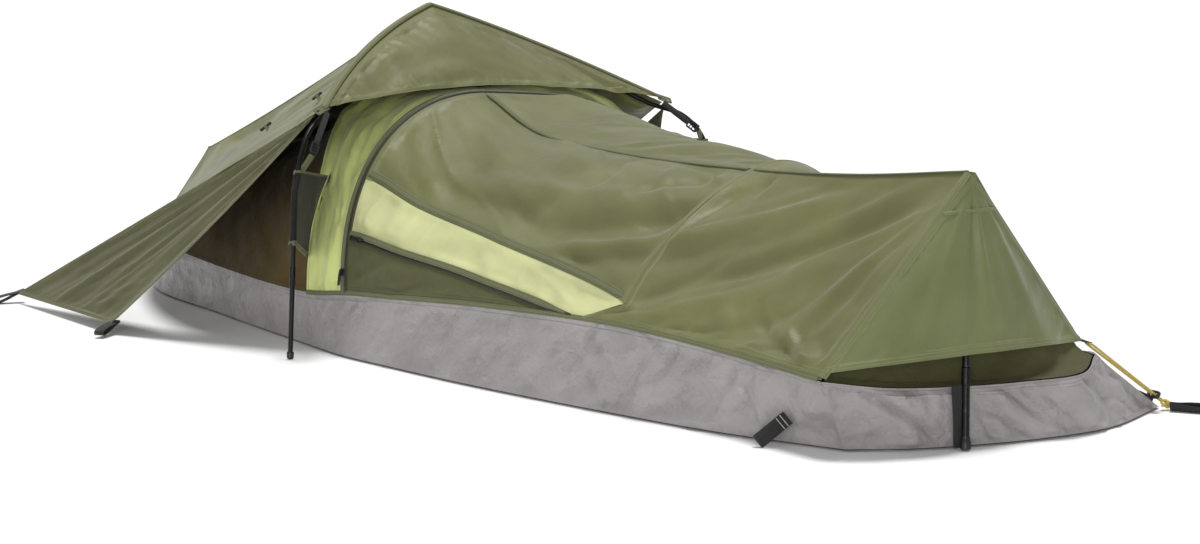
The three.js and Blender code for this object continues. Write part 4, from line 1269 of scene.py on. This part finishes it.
def seams():
    t = np.linspace(0, 1, 200)

    def ridge(start, end):
        points = over_ridge(lerp(start, end, t), 0 * t)
        return points, np.tile([0.0, 0, 1.0], (len(t), 1))

    seam("door_ridge_seam", *ridge(ZIP_STATION + 0.02, SEAM_STATION - 0.02), 0.010, "binding",
         "door_cloth")
    seam("foot_ridge_seam", *ridge(SEAM_STATION + 0.02, FOOT_STATION - 0.03), 0.010, "binding",
         "foot_roof_near_cloth")

    def cross(u, v):
        return over_ridge(lerp(SEAM_STATION - 0.1, SEAM_STATION + 0.1, v), lerp(-1, 1, u) * (1 - WEDGE_TIP))

    seam("foot_cross_seam", *line_on(cross, t, 0 * t + 0.5, (0, 0, 1)), 0.009, "olive",
         "foot_roof_near_cloth")
    for side, name in SIDE_NAME.items():
        def eave(u, v):
            return cover(lerp(0, FOOT_STATION, u), 0.1 * v, side)

        seam(f"eave_seam_{name}", *line_on(eave, t[:-1], 0 * t[:-1], (0, side, 0.3)), 0.009, "binding",
             f"foot_roof_{name}_cloth", 0.002)

        def foot_edge(u, v):
            return cover(FOOT_STATION - 0.1 * u, v, side)

        seam(f"end_seam_{name}", *line_on(foot_edge, 0 * t, lerp(0.01, 0.99, t), (0, side, 0.5)), 0.018,
             "olive", f"foot_roof_{name}_cloth", 0.0026)

        def wedge_top(u, v):
            station = lerp(ZIP_STATION, SEAM_STATION, u)
            return cover(station, np.minimum(wedge_rise(station) + 0.022 + 0.05 * v, 1), side)

        seam(f"storm_flap_{name}", *line_on(wedge_top, lerp(0.012, 0.992, t), 0 * t, (0, side, 0.5)), 0.016,
             "binding", "door_cloth", 0.0016, fade=0.02)

        def wedge_low(u, v):
            station = lerp(ZIP_STATION, WEDGE_END_STATION - 0.015, u)
            return cover(station, zip_rise(station) - 0.010 + 0.05 * v, side)

        low_line = line_on(wedge_low, lerp(0.004, 0.996, t), 0 * t, (0, side, 0.3))
        seam(f"wedge_binding_{name}", *low_line, 0.012, "binding", f"door_wedge_{name}_cloth", 0.0030, 0.0016,
             fade=0.10)
        crown_normals = np.tile(unit([0, 0.35 * side, 1]), (len(t), 1))
        seam(f"crown_seam_{name}", crown(t, side) + [0, 0, 0.0004], crown_normals, 0.016,
             "olive", "hood_visor_cloth", 0.0032)

    def patch_edge(u, v):
        return foot_flap(u, 0.80 + 0.02 * v)

    seam("apex_patch_seam", *line_on(patch_edge, lerp(0.03, 0.97, t), 0 * t, (1, 0, 0.4)), 0.006,
         "olive_foot", "foot_flap_cloth", 0.0010, 0.0018)

    def arch_edge(u, v):
        return over_ridge(ZIP_STATION - TAPE_STATIONS * (1.0 - 0.36 * (1 + 0.2 * (v - 0.5))), lerp(-1, 1, u))

    points = arch_edge(t, 0 * t + 0.5)
    normals = arch_normals(points, arch_edge(t, 0 * t + 1) - arch_edge(t, 0 * t))
    seam("arch_binding", points, normals, 0.014,
         "binding", "arch_band_cloth", 0.0026, 0.0008)
    ridge_points = lerp(at(PEAK), at((FLY_TIP[0], 0, FLY_TIP[2])), t[:, None])
    ridge_points[:, 2] -= FLY_SAG * bow(t) - RIDGE_CAP_LIFT
    spread = lerp(1.0, abs(FLY_TIP[1]) / 7 + 0.4, t)
    piece = sweep("fly_ridge_cap", ridge_points, np.tile([0.0, -1.0, 0.0], (len(t), 1)),
                  [(-0.007, -0.0012), (0.007, -0.0012), (0.007, -0.0002), (0, 0.0012), (-0.007, -0.0002)],
                  "olive", scale=spread)
    finish_piece(piece, on="fly_near_cloth")


def arch_normals(points, across):
    normals = unit(np.cross(across, np.gradient(points, axis=0)))
    outward = points - [points[:, 0].mean(), 0, 0.1]
    return normals * np.sign((normals * outward).sum(-1, keepdims=True))


# ---------------------------------------------------------------- zips
TOOTH_PITCH = 0.0014


def zip_coil(name, points, normals, on):
    """The coil of a closed zip: a low bead with its teeth standing across it."""
    line = resample(points, int(run(points)[-1] / TOOTH_PITCH))
    share, old = np.linspace(0, 1, len(line)), np.linspace(0, 1, len(points))
    normal = unit(np.stack([np.interp(share, old, normals[:, i]) for i in range(3)], 1))
    lateral = np.cross(unit(np.gradient(line, axis=0)), normal)
    scale = 1 + 0.22 * (np.arange(len(line)) % 2)
    piece = sweep(name, line + normal * 0.0010, -lateral,
                  [(-0.0028, 0), (0.0028, 0), (0.0022, 0.0014), (0, 0.0019), (-0.0022, 0.0014)], "coil",
                  scale, sharp=60)
    return finish_piece(piece, on=on)


def joined(name, parts):
    """Several meshes as one object."""
    keep = parts[0]
    with bpy.context.temp_override(active_object=keep, object=keep, selected_objects=parts,
                                   selected_editable_objects=parts):
        bpy.ops.object.join()
    keep.name = name
    return keep


def middle_of(node):
    return np.array(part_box(node), float).mean(0)


def slider(zip_name, travel):
    """A zip slider: a waisted body on its base, a bridge over it, and a tapered pull with grip ridges."""
    name, pull_name = zip_name + "_slider", zip_name + "_pull"
    centre = middle_of(name)
    along = unit(travel)
    back = middle_of(pull_name) - centre
    normal = unit(back - along * (back @ along))
    waist = two_halves([(-0.007, -0.0032), (-0.002, -0.0045), (0.005, -0.0042), (0.007, -0.0022)])
    post = rounded(0.001, -0.001, 0.006, 0.001, 0.0008)
    climb = [(-0.0048, 0.0012), (-0.0048, 0.0030), (-0.002, 0.0044)]
    bridge = [centre + along * a + normal * h for a, h in [*climb, *((-a, h) for a, h in reversed(climb))]]
    bridge_side = np.cross(normal, along)
    body = joined(name + "_body", [
        block(name + "_base", waist, 0.0016, centre - normal * 0.0016, along, normal, 0.0004),
        block(name + "_top", waist, 0.0016, centre + normal * 0.0010, along, normal, 0.0004),
        block(name + "_post", post, 0.003, centre, along, normal, 0.0002),
        sweep(name + "_bridge", smooth_path(bridge, 0.0008), bridge_side, flat_profile(0.0028, 0.0010),
              "plastic"),
    ])
    finish_piece(body, [name], name)
    pivot = centre + normal * 0.0038
    outline = two_halves(
        [(-0.026, -0.0024), (-0.0245, -0.0035), (-0.006, -0.0030), (-0.0008, -0.0024), (0, -0.0016)])
    eye = rounded(-0.0042, -0.0012, -0.0012, 0.0012, 0.0008)
    grip = rounded(-0.0012, -0.0026, 0.0012, 0.0026, 0.0006)
    plate = block(name + "_tab", outline, 0.0015, pivot, along, normal, 0.0003, [eye])
    ridges = [
        block(f"{name}_ridge_{k}", grip, 0.0019, pivot - along * (0.012 + 0.0035 * k), along, normal, 0.0003)
        for k in range(3)
    ]
    finish_piece(joined(name + "_pull_tab", [plate, *ridges]), [pull_name], pull_name)


def zips():
    t = np.linspace(0, 1, 300)

    def arch(u, v):
        return over_ridge(ZIP_STATION - TAPE_STATIONS * (0.32 + 0.2 * (v - 0.5)), lerp(-1, 1, u))

    points = arch(t, 0 * t + 0.5)
    normals = arch_normals(points, arch(t, 0 * t + 0.6) - arch(t, 0 * t + 0.4))
    zip_coil("arch_zip_coil", points, normals, "arch_zip_tape")
    for side, name in SIDE_NAME.items():
        def track(u, v):
            station = lerp(ZIP_STATION, WEDGE_END_STATION - 0.06, u)
            return cover(station, lerp(tape_foot(station), zip_rise(station), v), side)

        points, normals = line_on(track, t, 0 * t + 0.42, (0, side, 0.2))
        zip_coil(f"lower_zip_{name}_coil", points, normals, f"lower_zip_{name}_tape")
        travel = [cover(s, zip_rise(s) - TAPE_RISE / 2, side) for s in (1.25, 2.2)]
        slider(f"lower_zip_{name}", travel[1] - travel[0])
    station = ZIP_STATION - TAPE_STATIONS / 2
    slider("arch_zip_near", cover(station, 0.2, NEAR) - cover(station, 0.055, NEAR))


# ---------------------------------------------------------------- poles, ties and small fittings
def pole_side(side):
    name = SIDE_NAME[side]
    drop = HOOD_CORNER[side][2] - HOOD_CORNER[NEAR][2]
    foot, leg_top = at(on_side(LEG_FOOT, side)), at(on_side(LEG_TOP, side))
    bend = [
        at(on_side((x, y, z + drop * i / (len(ELBOW) - 1)), side)) for i, (x, y, z) in enumerate(ELBOW)
    ]
    over = [crown(s, side) - [0, 0, SLEEVE_DEPTH / 1000] for s in (0.72, 0.48, 0.24, HUB_SHARE)]
    arm_start = leg_top + offset((0, 0, 1.2))
    tip = turned(f"pole_cup_{name}", foot, lerp(foot, leg_top, 0.043),
                 [(0, 0.0040), (0.1, 0.0062), (0.85, 0.0065), (1, 0.0056)], "plastic")
    finish_piece(tip, [f"pole_tip_{name}"])
    leg = tube(f"pole_leg_{name}_tube", [lerp(foot, leg_top, 0.045), leg_top], 0.0045, "pole", sides=16)
    finish_piece(leg, [f"pole_leg_{name}"])
    arm = tube(f"pole_arm_{name}_tube", [arm_start, *bend, *over], 0.0045, "pole", sides=14)
    finish_piece(arm, [f"pole_arm_{name}"])
    down = unit(foot - leg_top)
    for k, place in enumerate((leg_top + down * 0.012, lerp(foot, leg_top, 0.5))):
        sleeve = turned(f"ferrule_{name}_{k}", place - down * 0.018, place + down * 0.018,
                        same_ends([(0, 0.0047), (0.06, 0.0055)]), "pole")
        finish_piece(sleeve)


def poles():
    pole_side(NEAR)
    pole_side(FAR)
    near, far = (crown(HUB_SHARE * 0.86, side) - [0, 0, SLEEVE_DEPTH / 1000] for side in (NEAR, FAR))
    middle = at(PEAK) - [0, 0, SLEEVE_DEPTH / 1000]
    hub = tube("crown_hub_body", [near, middle, far], 0.0065, "plastic", step=0.003, sides=16)
    finish_piece(hub, ["crown_hub"])
    base, top = at(FOOT_POLE_BASE), at(FOOT_POLE_TOP)
    pole = tube("foot_pole_tube", [lerp(base, top, 0.036), top], 0.0062, "pole", step=0.01, sides=18)
    finish_piece(pole, ["foot_pole"])
    cup = turned("foot_pole_cup", base, lerp(base, top, 0.05),
                 [(0, 0.0072), (0.08, 0.0085), (0.62, 0.0085), (0.72, 0.0074), (1, 0.0070)], "plastic")
    finish_piece(cup, ["foot_pole_tip"])
    for k, share in enumerate((0.24, 0.6)):
        ring = turned(f"foot_pole_ferrule_{k}", lerp(base, top, share), lerp(base, top, share + 0.07),
                      same_ends([(0, 0.0064), (0.04, 0.0073)]), "pole")
        finish_piece(ring)
    behind = at((FOOT_POLE_BASE[0] - 9, FOOT_POLE_BASE[1] - 6, 0))
    strap("foot_pole_strap", behind + offset([(0, 0, 4), (-2, 0, 50), (-8, 1, 102)]),
          (0.15, 1, 0), 0.020, 0.0016, "web")


def tie(side):
    """The doubled strap, ladder lock and tab that hold the hood's corner to the pole, and its grommet."""
    name = SIDE_NAME[side]
    corner = at(HOOD_CORNER[side]) + offset((14, 4 * side, -14))
    low = at(on_side((-36, 446, 344), side))
    down = unit(low - corner)
    length = np.linalg.norm(low - corner)
    facing = unit(np.array([1, -0.15 * side, 0.2]))
    facing = unit(facing - down * (facing @ down))
    wide = np.cross(down, facing)
    start = corner - down * 0.010
    bar = corner + down * (length * 0.5)
    halfway = lerp(start, bar, 0.5)
    loop = [
        start + facing * 0.0012, halfway + facing * 0.0022, bar + facing * 0.0008, bar + down * 0.003,
        bar - facing * 0.0010, halfway - facing * 0.0018, start - facing * 0.0012,
    ]
    strap(f"tie_strap_{name}_web", loop, wide, 0.011, 0.0012, "web", [f"tie_strap_{name}"])
    lock_at = corner + down * (length * 0.5 + 0.0013)
    slots = ((0.0030, 0.0062), (0.0082, 0.0118), (0.0140, 0.0190))
    frame_part = block(f"ladder_{name}_frame", rounded(0.0002, -0.009, 0.0230, 0.009, 0.003), 0.0030, lock_at,
                       down, facing, 0.0007, [rounded(x0, -0.0062, x1, 0.0062, 0.001) for x0, x1 in slots])
    lip = block(f"ladder_{name}_lip", rounded(0.0185, -0.0085, 0.0240, 0.0085, 0.002), 0.0022,
                lock_at + facing * 0.0010, down, unit(facing + down * 0.45), 0.0006)
    lock = joined(f"ladder_lock_{name}_frame", [frame_part, lip])
    finish_piece(lock, [f"ladder_lock_{name}"], f"ladder_lock_{name}")
    tab_end = at(on_side((-57, 447, 336), side))
    tab_start = lock_at + down * 0.0262
    tab_path = [tab_start, lerp(tab_start, tab_end, 0.5) + facing * 0.001, tab_end]
    strap(f"tie_tab_{name}", tab_path, wide, 0.012, 0.0018, "binding")
    out = unit([0.25, side, -0.35])
    up = unit([0.55, 0.15 * side, 0.8])
    grommet_hole = circle(0.0026, 14) + [0.0030, 0]
    tab = block(f"hood_tab_{name}", rounded(-0.020, -0.009, 0.010, 0.009, 0.003), 0.0022,
                at(HOOD_CORNER[side]) + out * 0.012 + up * 0.001, out, up, 0.0006, [grommet_hole], "binding")
    finish_piece(tab)


WRAP_SHARE, WRAP_RADIUS = 0.35, 0.0062


def mesh_wings():
    """The net sleeves that wrap the poles' legs and join them to the arch."""
    for side, name in SIDE_NAME.items():
        foot, leg_top, elbow = (at(on_side(p, side)) for p in (LEG_FOOT, LEG_TOP, ELBOW[1]))

        def pole_at(height):
            low = lerp(foot, leg_top, (height / leg_top[2])[..., None])
            high = lerp(leg_top, elbow, ((height - leg_top[2]) / (elbow[2] - leg_top[2]))[..., None])
            return np.where((height <= leg_top[2])[..., None], low, high)

        def wing(u, v):
            outer = pole_at(lerp(0.210, 0.335, v))
            inner = cover(0.0, lerp(0.10, 0.345, v), side) + offset((-4, 4 * side, 0))
            angle = np.clip(u / WRAP_SHARE, 0, 1) * 1.35 * math.pi - 0.15 * math.pi
            wrapped = outer + WRAP_RADIUS * np.stack([-np.cos(angle), side * np.sin(angle), 0 * angle], -1)
            flat = lerp(outer + offset((3.6, 0, 0)), inner,
                        np.clip((u - WRAP_SHARE) / (1 - WRAP_SHARE), 0, 1)[..., None])
            return np.where((u < WRAP_SHARE)[..., None], wrapped, flat)

        panel(f"mesh_wing_{name}_net", wing, 0.004, "mesh", [f"mesh_wing_{name}"], (-1, 0, 0),
              thick=0.0006)
        t = np.linspace(0, 1, 60)
        for k, v in enumerate((0.0, 1.0)):
            edge = wing(t, 0 * t + v)
            facing = np.tile(unit([-1.0, 0.3 * side, 0.2]), (len(t), 1))
            seam(f"wing_binding_{name}_{k}", edge, facing, 0.009, "binding",
                 f"mesh_wing_{name}_net", 0.0016, 0.0006)


# One side of a peg loop: the height of its webbing at each share of its length.
PEG_LOOP = ((0, 0.0013), (0.25, 0.0014), (0.55, 0.0042), (0.85, 0.0050), (0.97, 0.0034))
PEG_WEB_THICK = 0.0017


def peg_strap(name, start, towards, length, width, nodes, body="shell", across=None, stitches=False):
    """A peg loop of doubled webbing: out, round a soft end and back, and sewn together at the cloth."""
    d = unit(towards)
    across = unit(np.cross(d, [0, 0, 1.0])) if across is None else unit(across)
    up = np.cross(across, d)
    up = up if up[2] >= 0 else -up
    loop = [
        start + d * length * share + up * height
        for share, height in (*PEG_LOOP, (1, 0), *((share, -height) for share, height in reversed(PEG_LOOP)))
    ]
    strap(name, loop, across, width, PEG_WEB_THICK, "web", nodes, body, step=0.002)
    for k, share in enumerate((0.12, 0.24) if stitches else ()):
        middle = start + d * length * share + up * 0.0028
        ends = [middle - across * width * 0.46, middle + across * width * 0.46]
        finish_piece(tube(f"{name}_stitch_{k}", ends, 0.0008, "thread", step=0.003, sides=6), body=body)


def peg_loops():
    for side, name in SIDE_NAME.items():
        for end, peg in (("foot", PEG_FOOT), ("head", PEG_HEAD)):
            node = f"awning_loop_{name}_{end}"
            start = at(on_side(peg, side))
            away = middle_of(node) - start
            peg_strap(f"peg_strap_{name}_{end}", start - unit(away) * 0.014, away,
                      2 * np.linalg.norm(away) + 0.010, 0.020, [node], f"awning_{name}")
    for node, place, towards, across, stitches in (
        ("ground_loop_far_foot", (1236, 462, 6), (0.7, 0.5, -0.03), (0.3, -0.4, 0.75), False),
        ("ground_loop_near_foot", (1108, -255, 44), (-0.45, -0.55, -0.6), None, True),
    ):
        start, d = at(place), unit(towards)
        across = np.cross(d, (0.81, -0.57, 0.15)) if across is None else across
        reach = 2 * abs((middle_of(node) - start) @ d)
        peg_strap(node + "_web", start - d * 0.006, d, reach + 0.004, 0.024, [node], across=across,
                  stitches=stitches)
    guy_tab = at(GUY_TOP) + offset([(-16, -22, 12), (-6, -10, 6), (0, 2, 2)])
    strap("guy_tab", guy_tab, (1, 0.1, 0), 0.016, 0.0022, "web")
    strap("foot_corner_tab", at([(1180, 420, 30), (1194, 430, 24), (1208, 441, 16)]), (0.4, -0.5, 0.6), 0.022,
          0.0020, "web")


# One side of a toggle's fabric loop: places across the toggle and heights over its seat.
TOGGLE_LOOP = ((-0.014, -0.0062), (-0.009, -0.0058), (-0.0042, -0.001))
TOGGLE_SHAPE = [(0, 0.0014), (0.04, 0.0026), (0.12, 0.0030), (0.40, 0.0027), (0.44, 0.0020)]
SECOND_TOGGLE_SHAPE = [(0, 0.0014), (0.1, 0.0026), (0.42, 0.0024)]


def toggles():
    """The roll-up toggle in its fabric loop on the fly, and a second loop near the hood's corner."""
    def on_fly(u, v):
        return fly_side(np.array(u), np.array(v), NEAR)

    def toggle(name, seat, reach, shape):
        return turned(name, seat - along * reach, seat + along * reach, shape, "plastic")

    normal = unit([-0.28, -0.545, 0.79])
    slant = on_fly(0.23, 0.27) - on_fly(0.28, 0.22)
    along = unit(slant - normal * (slant @ normal))
    side = np.cross(normal, along)
    first, second = middle_of("roll_up_toggle"), on_fly(0.045, 0.16) + normal * 0.008
    barrel = toggle("toggle_barrel", first, 0.013, same_ends(TOGGLE_SHAPE))
    finish_piece(barrel, ["roll_up_toggle"], "roll_up_toggle")
    for k, (seat, size, body) in enumerate(((first, 1.0, "roll_up_toggle"), (second, 0.8, "shell"))):
        shape = (*TOGGLE_LOOP, (0, 0.0034), *((-a, h) for a, h in reversed(TOGGLE_LOOP)))
        loop = [seat + side * a * size + normal * h for a, h in shape]
        strap(f"toggle_loop_{k}", loop, along, 0.006, 0.0010, "binding", body=body, step=0.0012)
    finish_piece(toggle("second_toggle", second, 0.011, same_ends(SECOND_TOGGLE_SHAPE, [(0.5, 0.0018)])))


camera()
stage_and_light()
guy_line()
floor_and_skirt()
inner_walls()
cover_pieces()
hood_pieces()
mesh_wings()
seams()
zips()
poles()
tie(NEAR)
tie(FAR)
peg_loops()
toggles()
declare_sheets()
bpy.context.view_layer.update()
